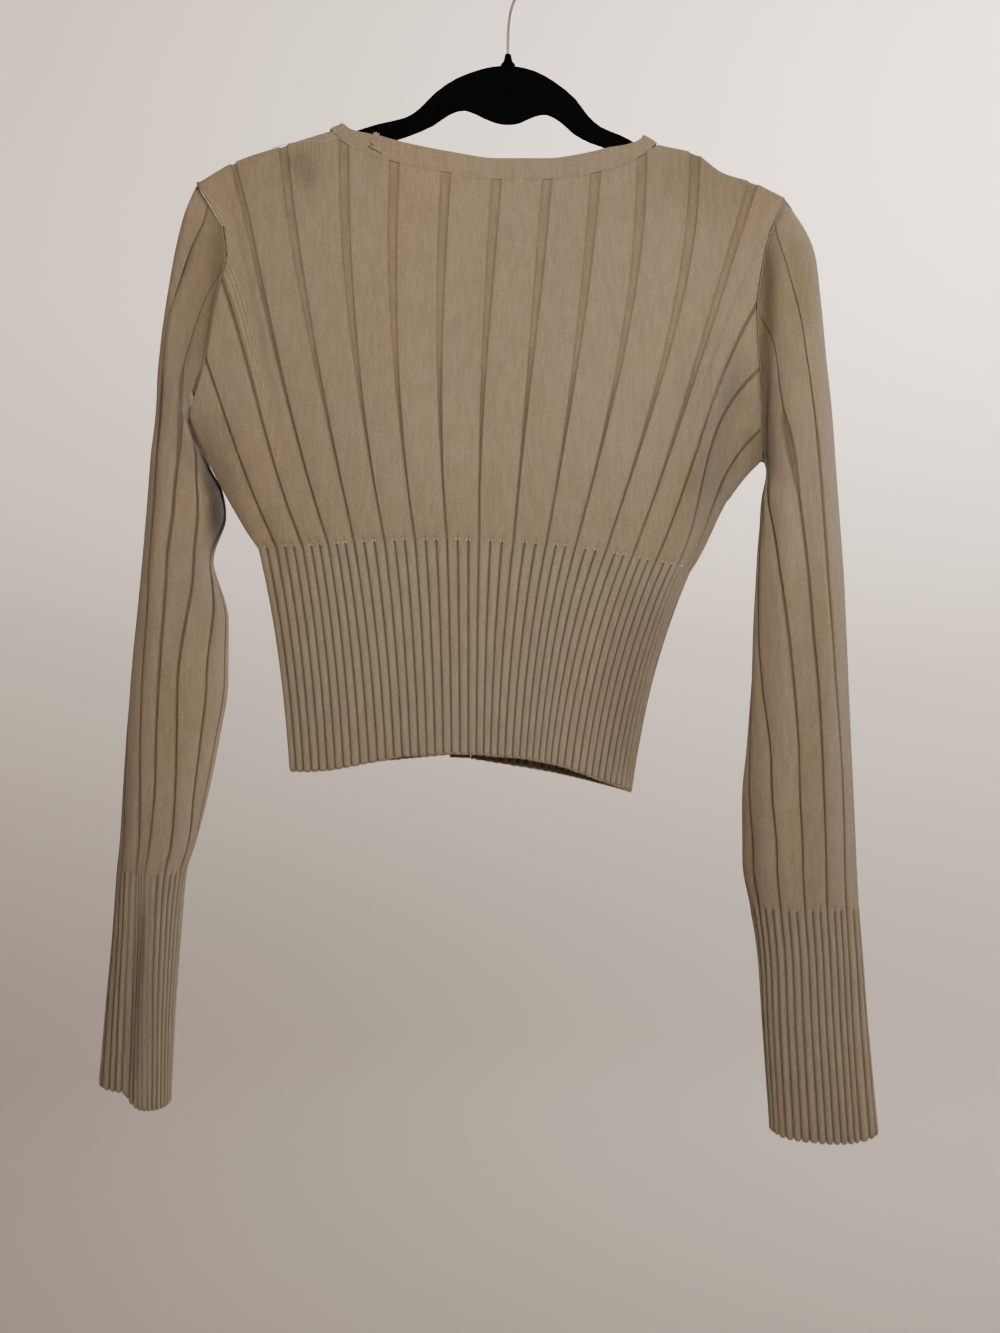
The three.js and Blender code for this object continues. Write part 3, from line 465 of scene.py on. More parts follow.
def fold_height(x, z):
    """The fold that turns the right side of the back away."""
    down = (z - SIDE_FOLD["top_z"]) / (SIDE_FOLD["foot_z"] - SIDE_FOLD["top_z"])
    ridge = lerp(SIDE_FOLD["top_x"], SIDE_FOLD["foot_x"], down)
    fade = np.sin(np.pi * np.clip(down * 0.8 + 0.1, 0, 1))
    return SIDE_FOLD["height"] * fade * bell(x - ridge, SIDE_FOLD["width"])


def cloth_depth(side, x, z):
    """How far it stands with its folds and creases; side is -1 at the back and 1 in front."""
    depth = stand_off(x, z)
    if side < 0:
        return depth + fold_height(x, z) + crease_height(BACK_CREASES, x, z)
    return depth + crease_height(FRONT_CREASES, x, z)


def hollow_shade(hollows, x, z):
    """Painted shade of the hollows at each place, as far as the cloth's own shade goes."""
    return np.clip(crease_height(hollows, x, z), 0, MOST_SHADE)


def deep_shade(hollows, x, z):
    """What is left of the hollows' painted shade when darker than the cloth's own shade goes."""
    return np.clip(crease_height(hollows, x, z) - MOST_SHADE, 0, MOST_SHADE)


# ---- the knit's relief ----
CHANNELS_OPEN = 20, 265      # heights over the waist between which the wide ribs' channels open
CHANNEL_HALF = 0.42, 3.3     # half a channel's width, shut and open
CHANNEL_DEPTH = 1.3, 0.48    # and its depth
RIB_PUFF = 0.35, 1.1         # how far a rib rises beside an open channel and beside a shut one
CHANNEL_DARK = 0.07, 0.6     # painted shade in an open channel, and in a shut one
CHANNEL_EDGE_DARK = 0.55, 0.66   # and their edges
LIP_HEIGHT, LIP_GAP = 0.28, 1.1  # of the low lip beside an open channel
NARROW_FOOT = 0.30           # lowest face of the narrow ribs; the next ones are stretched, at rest
NARROW_RISE = 0.25, 0.7      # how far a narrow rib rises
NARROW_GROOVE = 0.17, 0.26   # share of a narrow rib that slopes into its groove
NARROW_DARK = 1, 0.75        # painted shade in the groove
NARROW_DARK_REACH = 0.16, 0.3    # and over what share of the rib
# the dimple's dark is painted shade
DIMPLE_UP, DIMPLE_DEPTH, DIMPLE_DARK = 3.4, 0.4, 0.22    # of the dimple over each groove's end


def strip_shape(above, opening):
    """Half width, edge softness and depth of a wide rib's channel at a height over the waist.
    opening is 1 where the knit is stretched wide and 0 where its channels stay shut."""
    open_up = smoothstep(*CHANNELS_OPEN, above) * opening
    half = lerp(*CHANNEL_HALF, open_up)
    depth = lerp(*CHANNEL_DEPTH, smoothstep(0.05, 0.6, open_up))
    return half, np.minimum(0.5, 0.6 * half), depth


def knit_relief(rib, above, pitch, true_pitch, opening=1, rounded=0):
    """Height of the knit over its base surface, how dark its grooves are, and where the purl
    channels are. above is the height over the narrow ribs' upper end; pitch is mm a wide rib,
    and true_pitch the same where ribs are squeezed together, as at a folded side. rounded is 1
    where the narrow ribs are at rest and 0 where they are stretched flat."""
    phase = np.abs(rib - np.round(rib))
    side = phase * pitch
    half, soft, depth = strip_shape(above, opening)
    strip = 1 - smoothstep(half - soft, half + soft, side)
    shut = 1 - smoothstep(0.7, 1.9, half)
    puff = lerp(*RIB_PUFF, shut) * (1 - (1 - np.minimum(2 * phase, 1)) ** 3)
    lip = LIP_HEIGHT * (1 - shut) * bell(side - half - LIP_GAP, 0.9)
    wide = puff + lip - depth * strip
    # painted shade: in the channels, along their edges, in the narrow grooves and in the dimples
    edge_dark = bell(side - half, 0.5) * lerp(*CHANNEL_EDGE_DARK, shut)
    wide_dark = np.maximum(strip * lerp(*CHANNEL_DARK, shut), edge_dark)

    narrow = np.abs(NARROW_PER_WIDE * rib - np.round(NARROW_PER_WIDE * rib))
    own_groove = phase > 0.2                       # not a wide rib's channel running on down
    ribbed = NARROW_FOOT + lerp(*NARROW_RISE, rounded) * np.sin(np.pi * narrow)
    ribbed = ribbed - NARROW_DEPTH * (1 - smoothstep(0, lerp(*NARROW_GROOVE, rounded), narrow))
    dark_reach = lerp(*NARROW_DARK_REACH, rounded)
    narrow_dark = lerp(*NARROW_DARK, rounded) * (1 - smoothstep(0.02, dark_reach, narrow))
    middle_groove = np.where(own_groove, smoothstep(0.8, -0.8, above), 1.0)
    zone = smoothstep(2.5, -0.5, above)
    shown = smoothstep(4, 13, true_pitch)
    dimple = np.exp(-(((above - DIMPLE_UP) / 2.4) ** 2) - (narrow / 0.2) ** 2) * own_groove * shown
    height = lerp(wide, ribbed * lerp(1, middle_groove, 0.2), zone) - DIMPLE_DEPTH * dimple
    dark = lerp(wide_dark, narrow_dark * middle_groove, smoothstep(0.8, -0.5, above))
    dark = np.maximum(dark * shown, DIMPLE_DARK * dimple)
    height = height * lerp(0.3, 1, shown)
    return height, dark, strip * (1 - zone)


# ---- meshes ----
def new_piece(name, points, faces):
    """A mesh object at the origin from points in mm."""
    mesh = bpy.data.meshes.new(name)
    mesh.from_pydata((np.asarray(points) * MM).tolist(), [], faces)
    mesh.shade_smooth()
    piece = bpy.data.objects.new(name, mesh)
    bpy.context.scene.collection.objects.link(piece)
    return piece


def finish_piece(piece, material, replaces=()):
    """Gives a piece its material, body and slot, and hides the CAD nodes that it stands for."""
    piece.data.materials.clear()
    piece.data.materials.append(material)
    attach(piece, "root")
    if replaces:
        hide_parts(*replaces)


def edge_rounding(gap):
    """How far the cloth's face falls in as it rounds off at a hem."""
    rounding = 1 - np.clip(gap, 0, EDGE_RUN) / EDGE_RUN
    return EDGE_FALL * (1 - np.sqrt(1 - rounding ** 2))


def scallop(share, relief, gap):
    """How much lower the ribs end than the grooves between them."""
    return share * relief * smoothstep(SCALLOP_RUN, 0, gap)


def grid_normals(grid, ring):
    """Unit normals of a grid of points, from its neighbours along rows and columns."""
    if ring:
        round_step = np.roll(grid, -1, axis=1) - np.roll(grid, 1, axis=1)
    else:
        round_step = np.gradient(grid, axis=1)
    return unit(np.cross(round_step, np.gradient(grid, axis=0)))


def knit_shell(name, grid, normals, relief, dark, rib, length, ring=False, masks=None):
    """A closed knitted wall: its outer face is the grid raised by the relief, its inner face
    follows it at the cloth's thickness. UVs count ribs and mm of length."""
    rows, columns = grid.shape[:2]
    outer = grid + normals * relief[..., None]
    inner = grid + normals * (0.6 * relief - CLOTH)[..., None]
    points = np.concatenate([outer.reshape(-1, 3), inner.reshape(-1, 3)])
    spans = columns if ring else columns - 1
    i, j = np.meshgrid(np.arange(rows - 1), np.arange(spans), indexing="ij")
    right = (j + 1) % columns
    a, b = i * columns + j, i * columns + right
    c, d = (i + 1) * columns + right, (i + 1) * columns + j
    inside = rows * columns
    faces = [np.stack([a, b, c, d], -1).reshape(-1, 4),
             inside + np.stack([a, d, c, b], -1).reshape(-1, 4)]
    across = np.arange(spans)
    after = (across + 1) % columns
    top = (rows - 1) * columns
    faces.append(np.stack([after, across, inside + across, inside + after], -1))
    faces.append(np.stack([top + across, top + after, inside + top + after,
                           inside + top + across], -1))
    if not ring:
        up = np.arange(rows - 1) * columns
        last = up + columns - 1
        faces.append(np.stack([up, up + columns, inside + up + columns, inside + up], -1))
        faces.append(np.stack([last + columns, last, inside + last, inside + last + columns], -1))
    quads = np.concatenate(faces)
    corner = points[quads]
    volume = np.einsum("ij,ij->", corner[:, 0], np.cross(corner[:, 1], corner[:, 2]))
    volume += np.einsum("ij,ij->", corner[:, 0], np.cross(corner[:, 2], corner[:, 3]))
    if volume < 0:
        quads = quads[:, ::-1]
    piece = new_piece(name, points, quads.tolist())
    mesh = piece.data
    blank = np.zeros(rows * columns)
    # groove and hollow hold painted shade; purl marks the purl stitches and their painted shade
    masks = {"groove": dark, "ribbed": blank, "purl": blank, "painted_hollow_shade": blank, **(masks or {})}
    for mask_name, values in masks.items():
        both = np.concatenate([values.ravel()] * 2).astype(np.float32)
        mesh.attributes.new(mask_name, "FLOAT", "POINT").data.foreach_set("value", both)
    flat_rib = np.concatenate([rib.ravel()] * 2)
    flat_length = np.concatenate([length.ravel()] * 2)
    loops = np.empty(len(mesh.loops), np.int64)
    mesh.loops.foreach_get("vertex_index", loops)
    u = flat_rib[loops].reshape(-1, 4)
    if ring:                                     # the last faces go on past the first line
        across_seam = u.max(1, keepdims=True) - u > SLEEVE_RIBS / 2
        u = np.where(across_seam, u + SLEEVE_RIBS, u)
    uv = np.stack([u.ravel(), flat_length[loops] * UV_PER_MM], -1).astype(np.float32)
    mesh.uv_layers.new(name="knit").data.foreach_set("uv", uv.ravel())
    return piece


def row_heights(total, near_foot, near_top, count):
    """Heights of each line's points: fixed ones at both ends and even ones between them."""
    ones = np.ones_like(total)
    foot = np.outer(near_foot, ones)
    top = total - np.outer(near_top, ones)
    spread = np.linspace(0, 1, count + 2)[1:-1, None]
    return np.concatenate([foot, foot[-1] + spread * (top[0] - foot[-1]), top])


# ---- lines of knit across a panel or sleeve ----
# How far the lines lie from a whole rib, in ribs, where they run down the narrow ribs.
NARROW_PHASES = np.array([0, 0.09, 0.23, 0.50, 0.77, 0.91, 1, 1.09, 1.23, 1.50]) / NARROW_PER_WIDE
LEAST_GAP = 0.03             # no line runs nearer than this to a panel's side, in ribs
LEAST_STEP = 0.01            # nor nearer than this to the next one


def rib_lines(first, last, closed=False):
    """The knit lines between two ribs: the whole rib beside each, its side and its order."""
    lines = [] if closed else [(first, 0, 0)]
    orders = range(-len(NARROW_PHASES) + 2, len(NARROW_PHASES))
    for whole in range(math.floor(first), math.ceil(last) + (0 if closed else 1)):
        for order in orders:
            place = whole + np.sign(order) * NARROW_PHASES[abs(order)]
            if closed or first + LEAST_GAP < place < last - LEAST_GAP:
                lines.append((whole, np.sign(order), abs(order)))
    if not closed:
        lines.append((last, 0, 0))
    return np.array(lines, float).T


def spread_lines(lines, above, pitch, opening=1):
    """Rib number of every grid point: even steps in the narrow ribs, and over them steps that
    gather at the edges of the wide ribs' channels."""
    whole, side, order = lines
    order = order.astype(int)
    half, soft, _ = strip_shape(above, opening)
    marks = [0 * half, 0.45 * (half - soft), half - soft, half, half + soft, half + 2.6 * soft]
    marks = [mark / pitch for mark in marks]
    rest = len(NARROW_PHASES) - len(marks)
    marks += [lerp(marks[5], 0.5, (k + 1) / rest) for k in range(rest)]
    marks = np.stack(marks)
    opened = np.take_along_axis(marks, np.broadcast_to(order, half.shape)[None], axis=0)[0]
    phase = lerp(NARROW_PHASES[order], opened, smoothstep(2, 34, above))
    return whole + side * phase


# ---- panels ----
def shoulder_pull(x, z):
    """How far the pull at the left shoulder point moves a place, in x and z."""
    gap = (x - SHOULDER_PULL["x"]) ** 2 + (z - SHOULDER_PULL["z"]) ** 2
    near = np.exp(-gap / SHOULDER_PULL["reach"] ** 2)
    return SHOULDER_PULL["out"] * near, SHOULDER_PULL["up"] * near


def before_pull(x, z):
    """The place that the pull moves to x and z, by steps that close in on it."""
    rest_x, rest_z = x, z
    for _ in range(14):
        move_x, move_z = shoulder_pull(rest_x, rest_z)
        rest_x, rest_z = x - move_x, z - move_z
    return rest_x, rest_z


def rib_place(ribs, leans, edges, rib, level):
    """x and z of a point on a rib line; level is -1 at the hem, 0 at the waist, 1 at the top."""
    hem, hem_z = along(ribs, "rib", "hem", rib), along(ribs, "rib", "hem_z", rib)
    waist, waist_z = along(ribs, "rib", "waist", rib), along(ribs, "rib", "waist_z", rib)
    top_x, top_z = before_pull(along_edges(edges, "x", rib), along_edges(edges, "z", rib))
    band_lean = (hem - waist) / (waist_z - hem_z)
    down = np.clip(-level, 0, 1)
    band_x = hermite(down, waist_z - hem_z, waist, 1.6 * band_lean, hem, 0.5 * band_lean)
    up = np.clip(level, 0, 1)
    lean, top_lean = along(ribs, "rib", "lean", rib), along(leans, "rib", "lean", rib)
    body_x = hermite(1 - up, top_z - waist_z, top_x, top_lean, waist, lean)
    hook = 1 - np.exp(-(1 - up) * (top_z - waist_z) / TOP_HOOK_LENGTH)
    body_x = body_x + along(TOP_HOOK, "rib", "lean", rib) * TOP_HOOK_LENGTH * hook * up
    x = np.where(level < 0, band_x, body_x)
    z = np.where(level < 0, lerp(waist_z, hem_z, down), lerp(waist_z, top_z, up))
    move_x, move_z = shoulder_pull(x, z)
    return x + move_x, z + move_z


# Mesh rows at fixed heights over the hem and the waist, and below the waist and the top edge.
HEM_ROWS = [0, 0.5, 1.4, 2.8]
WAIST_ROWS = [1.2, 2.6, 4.4]
BAND_TOP_ROWS = [4, 2, 0.6]
TOP_ROWS = [6.2, 4.4, 2.9, 1.7, 0.8, 0.25, 0]
PITCH_SPAN = 0.5             # ribs over which their pitch is measured
PANEL_PITCH = 16, 40         # least and most that the channels of a panel are made for
SLEEVE_PITCH = 12            # and least on a sleeve


def rib_pitch(ribs, leans, edges, whole, level):
    """Distance between wide ribs, square to them, at each whole rib and level: kept within
    what the channels need, and as it is."""
    first, last = edges[0]["rib"][0], edges[-1]["rib"][-1]
    left = np.clip(whole - PITCH_SPAN / 2, first, last - PITCH_SPAN)
    right = left + PITCH_SPAN
    low = np.stack(rib_place(ribs, leans, edges, left + 0 * level, level))
    high = np.stack(rib_place(ribs, leans, edges, right + 0 * level, level))
    across = (high - low) / (right - left)
    run = np.gradient((high + low) / 2, axis=1)
    run /= np.maximum(np.hypot(*run), 1e-9)
    pitch = np.abs(across[0] * run[1] - across[1] * run[0])
    return np.clip(pitch, *PANEL_PITCH), pitch


def panel_grid(ribs, leans, edges, corners):
    """Places of a panel's grid: rib numbers, heights over the waist, pitches, points and
    distances from the top edge. The corners are ribs that have a line of their own at the top."""
    first, last = edges[0]["rib"][0], edges[-1]["rib"][-1]
    lines = rib_lines(first, last)
    whole = lines[0] + lines[1] * NARROW_PHASES[lines[2].astype(int)]
    band_height = along(ribs, "rib", "waist_z", whole) - along(ribs, "rib", "hem_z", whole)
    body_height = along_edges(edges, "z", whole) - along(ribs, "rib", "waist_z", whole)
    band = row_heights(band_height, HEM_ROWS, BAND_TOP_ROWS, round(band_height.max() / ROW_STEP))
    body = row_heights(body_height, WAIST_ROWS, TOP_ROWS, round(body_height.max() / ROW_STEP) - 2)
    level = np.concatenate([band / band_height - 1, body / body_height])
    above = np.concatenate([band - band_height, body])
    _, true_pitch = rib_pitch(ribs, leans, edges, lines[0] + 0.3 * lines[1], level)
    pitch, _ = rib_pitch(ribs, leans, edges, lines[0], level)
    opening = along(RIB_OPENINGS, "rib", "open", lines[0])
    rib = spread_lines(lines, above, pitch, opening)
    near_top = smoothstep(24, 2, (1 - level) * body_height) * (level > 0)
    for corner in corners:
        j = np.abs(rib[-1] - corner).argmin()
        rib[:, j] += (corner - rib[-1, j]) * near_top[:, j]
    order = np.arange(rib.shape[1])
    rib = np.clip(rib, first + LEAST_STEP * order, last - LEAST_STEP * order[::-1])
    x, z = rib_place(ribs, leans, edges, rib, level)
    top_gap = np.where(level > 0, (1 - level) * body_height, FAR)
    return rib, above, (pitch, true_pitch), x, z, top_gap


def panel(name, side, ribs, leans, edges, corners):
    """A rib-knit panel and its surface; side is -1 for the back and 1 for the fronts."""
    rib, above, pitch, x, z, top_gap = panel_grid(ribs, leans, edges, corners)
    depth = cloth_depth(side, x, z)
    if name == "front_right_knit":
        depth = depth + front_lap(x, z, x[:, :1])
    grid = np.stack([x, side * (HALF_GAP + depth), z], -1)
    normals = grid_normals(grid, False)
    normals *= np.sign(np.mean(normals[..., 1])) * side
    opening = along(RIB_OPENINGS, "rib", "open", np.round(rib))
    relief, dark, purl = knit_relief(rib, above, *pitch, opening)
    at_neck = (rib[-1] > LEFT_NECK) & (rib[-1] < RIGHT_NECK)
    relief = relief - np.where(at_neck, 0.25, 0.9) * bell(top_gap, 1.8)
    hem_gap = above - above[:1]
    grid[..., 2] -= scallop(HEM_SCALLOP, relief, hem_gap)
    relief = relief - edge_rounding(hem_gap)
    top = rib[-1]
    for edge, axis in SEAMS:
        on_edge = (top >= edge["rib"][0] - 1e-6) & (top <= edge["rib"][-1] + 1e-6)
        normals[-1, on_edge, axis] = 0
        if axis == 1:
            grid[-1, on_edge, 1] = side * HALF_GAP
    for j, at, way in ((0, LEFT_SIDE, -1), (-1, RIGHT_SIDE, 1)):
        if abs(rib[0, j] - at) < 1e-6:
            grid[:, j, 1] = side * HALF_GAP
            normals[:, j] = (way, 0, 0)
            relief[:, j] = np.minimum(relief[:, j], 0)
    normals = unit(normals)
    # painted shade in the crease along the sewn top edge, fainter at the neck
    edge_dark = np.where(at_neck, 0.12, 0.45) * bell(top_gap, 1.3)
    length = z - z[:1]
    # painted shade in the panel's hollows
    painted_hollow_shade = hollow_shade(BACK_HOLLOWS if side < 0 else FRONT_HOLLOWS, x, z)
    masks = {"ribbed": smoothstep(2, -2, above), "purl": purl, "painted_hollow_shade": painted_hollow_shade}
    piece = knit_shell(name, grid, normals, relief, np.maximum(dark, edge_dark), rib, length,
                       masks=masks)
    surface = {"rib": rib, "above": above, "grid": grid, "normals": normals, "relief": relief}
    return piece, surface


def front_lap(x, z, edge_x):
    """How far the buttonhole side stands out over the button side, near its edge."""
    near = np.clip(1 - (x - edge_x) / LAP_REACH, 0, 1)
    low = np.clip((shoulder_height(x) - z) / LAP_REACH, 0, 1)
    return LAP * smoothstep(0, 1, near) * low


# The sewn top edges, and the axis along which the cloth's normals are level at each.
SEAMS = [(ARMHOLE_LEFT, 0), (SHOULDER_LEFT, 1), (SHOULDER_RIGHT, 1), (ARMHOLE_RIGHT, 0)]
LEFT_EDGES = [ARMHOLE_LEFT, SHOULDER_LEFT]
RIGHT_EDGES = [SHOULDER_RIGHT, ARMHOLE_RIGHT]

back, back_surface = panel("back_knit", -1, BACK_RIBS, BACK_LEANS,
                           [*LEFT_EDGES, BACK_NECK, *RIGHT_EDGES],
                           (ARMHOLE_TURN, LEFT_SHOULDER, LEFT_NECK, RIGHT_NECK, RIGHT_SHOULDER))
front_left, left_surface = panel("front_left_knit", 1, FRONT_LEFT_RIBS, FRONT_LEANS,
                                 [*LEFT_EDGES, VEE_LEFT],
                                 (ARMHOLE_TURN, LEFT_SHOULDER, LEFT_NECK))
front_right, right_surface = panel("front_right_knit", 1, FRONT_RIGHT_RIBS, FRONT_LEANS,
                                   [VEE_RIGHT, *RIGHT_EDGES], (RIGHT_NECK, RIGHT_SHOULDER))


# ---- bands ----
def edge_run(points):
    """Distance along a line of points."""
    return np.concatenate([[0], np.cumsum(np.linalg.norm(np.diff(points, axis=0), axis=1))])


def resample(points, spacing):
    """Points at even steps along a line, its two ends among them."""
    run = edge_run(points)
    places = np.linspace(0, run[-1], max(2, round(run[-1] / spacing)))
    return np.stack([np.interp(places, run, points[:, k]) for k in range(points.shape[1])], -1)


BAND_ACROSS = np.array([0, 0.03, 0.08, 0.16, 0.28, 0.42, 0.56, 0.70, 0.82, 0.90, 0.96, 1.0])


def band(name, side, edge, turn, lift, ends):
    """A plain knitted band along an edge of a panel, given as x and z. turn is 1 where the band
    lies to the left of the edge's run and -1 to the right. ends names the shoulder points where
    the band's free edge meets the shoulder seam."""
    edge = resample(edge, 1.5)
    run = edge_run(edge)
    tangent = unit(np.gradient(edge, axis=0))
    out = np.stack([-tangent[:, 1], tangent[:, 0]], -1) * turn
    to_end = np.full(len(edge), FAR)
    gaps = [run if at == 0 else run[-1] - run for at, _ in ends]
    for gap in gaps:
        to_end = np.minimum(to_end, gap)
    width = lerp(BAND_END, BAND_WIDTH, smoothstep(6, 40, to_end))
    reach = lerp(2 * HALF_GAP, width[:, None], BAND_ACROSS)
    place = edge[:, None] + out[:, None] * reach[..., None]
    flat = np.zeros(len(edge))
    for (at, corner), gap in zip(ends, gaps):
        close = smoothstep(7, 0, gap)[:, None, None]
        start = edge[at] + [np.sign(corner[0] - edge[at][0]) * 2 * HALF_GAP, 0]
        line = lerp(start, np.array(corner), BAND_ACROSS[:, None])
        place = lerp(place, line[None], close)
        flat = np.maximum(flat, smoothstep(0.8, 0, gap))
    x, z = place[..., 0], place[..., 1]
    depth = cloth_depth(side, x, z) + lift * smoothstep(2, 30, to_end)[:, None]
    depth = depth * (1 - flat[:, None])
    grid = np.stack([x, side * (HALF_GAP + depth), z], -1)
    normals = grid_normals(grid, False)
    normals *= np.sign(np.mean(normals[..., 1])) * side
    for at, _ in ends:
        normals[at, :, 1] = 0
    normals = unit(normals)
    gap = np.minimum(BAND_ACROSS, 1 - BAND_ACROSS) * BAND_WIDTH
    crown = 0.4 * np.sqrt(1 - (1 - np.clip(gap / 2.2, 0, 1)) ** 2) - 0.05
    wobble = 0.22 * np.sin(run * 0.11 + 1.3) * np.sin(run * 0.043)
    middle = BAND_ACROSS * (1 - BAND_ACROSS) * 4
    relief = np.broadcast_to(crown, x.shape) + wobble[:, None] * middle
    # painted shade along the band's sewn edge
    dark = np.broadcast_to(0.15 * bell(BAND_ACROSS * BAND_WIDTH, 0.9), x.shape)
    rib = np.broadcast_to(run[:, None] / BAND_RIB, x.shape)
    length = np.broadcast_to(BAND_ACROSS * BAND_WIDTH, x.shape)
    piece = knit_shell(name, grid, normals, relief, dark, rib, length)
    return piece, {"grid": grid, "normals": normals, "relief": relief}


def top_line(surface):
    """A panel's top edge, as x and z."""
    return surface["grid"][-1][:, [0, 2]]


def between(surface, low, high):
    """Which points of a panel's top edge lie between two ribs."""
    top = surface["rib"][-1]
    return (top >= low - 1e-6) & (top <= high + 1e-6)


neck_edge = top_line(back_surface)[between(back_surface, LEFT_NECK, RIGHT_NECK)]
neckband, neckband_surface = band("neckband_knit", -1, neck_edge, 1, 0,
                                  [(0, NECK_ENDS["left"]), (-1, NECK_ENDS["right"])])
left_vee = top_line(left_surface)[between(left_surface, LEFT_NECK, LEFT_FRONT)][::-1]
left_upright = left_surface["grid"][:, -1][:, [0, 2]]
button_edge = np.concatenate([left_upright, left_vee[1:]])
button_band, button_surface = band("button_band_knit", 1, button_edge, -1, 0,
                                   [(-1, NECK_ENDS["left"])])
right_vee = top_line(right_surface)[between(right_surface, RIGHT_FRONT, RIGHT_NECK)]
right_upright = right_surface["grid"][:, 0][:, [0, 2]]
hole_edge = np.concatenate([right_upright, right_vee[1:]])
hole_band, hole_surface = band("buttonhole_band_knit", 1, hole_edge, 1, LAP,
                               [(-1, NECK_ENDS["right"])])


# ---- sleeves ----
def armhole_half(surface, low, high, from_top):
    """The armhole's edge on one panel, from the shoulder point to the underarm."""
    line = surface["grid"][-1][between(surface, low, high)]
    return line[::-1] if from_top else line


def armhole_ring(back_half, front_half, angles, shift):
    """The armhole at angles round it: down the back half and up the front half."""
    ring = np.zeros((len(angles), 3))
    for half, share in ((back_half, angles / np.pi), (front_half, 2 - angles / np.pi)):
        mine = (share >= 0) & (share <= 1)
        run = edge_run(half)
        for k in range(3):
            ring[mine, k] = np.interp(share[mine] * run[-1], run, half[:, k])
    ends = np.isclose(np.sin(angles), 0, atol=1e-9)
    ring[ends, 1] = 0
    ring[:, 0] += shift
    return ring


def section_points(section, angles, calm):
    """A sleeve section: an ellipse between its outer and inner edge with soft folds round it."""
    out = np.array([section["out_x"], section["mid_y"], section["out_z"]])
    inner = np.array([section["in_x"], section["mid_y"], section["in_z"]])
    middle = (out + inner) / 2
    reach = out - middle
    fold = calm * SLEEVE_FOLD_HEIGHT * np.cos(6 * angles)
    points = middle + reach * np.cos(angles)[:, None]
    points[:, 1] -= (section["deep"] / 2 + fold) * np.sin(angles)
    return points


def sleeve_places(cuff_run, end_run):
    """How far down a sleeve its mesh rows lie, from the armhole to the cuff's end."""
    upper = cuff_run - row_heights(np.array([cuff_run]), WAIST_ROWS, TOP_ROWS,
                                   round(cuff_run / ROW_STEP))[::-1, 0]
    lower = end_run - row_heights(np.array([end_run - cuff_run]), HEM_ROWS, BAND_TOP_ROWS,
                                  round((end_run - cuff_run) / ROW_STEP))[::-1, 0]
    return np.concatenate([upper, lower])


def creased(grid, centre, creases, places):
    """A sleeve's grid with the creases of its back and its front pressed into it."""
    clear = smoothstep(0, CREASE_START, places)[:, None]
    for face, own in creases.items():
        normals = ring_normals(grid, centre)
        facing = smoothstep(-0.2, 0.3, normals[..., 1] * (-1 if face == "back" else 1))
        height = crease_height(own, grid[..., 0], grid[..., 2])
        grid = grid + normals * (height * facing * clear)[..., None]
    return grid


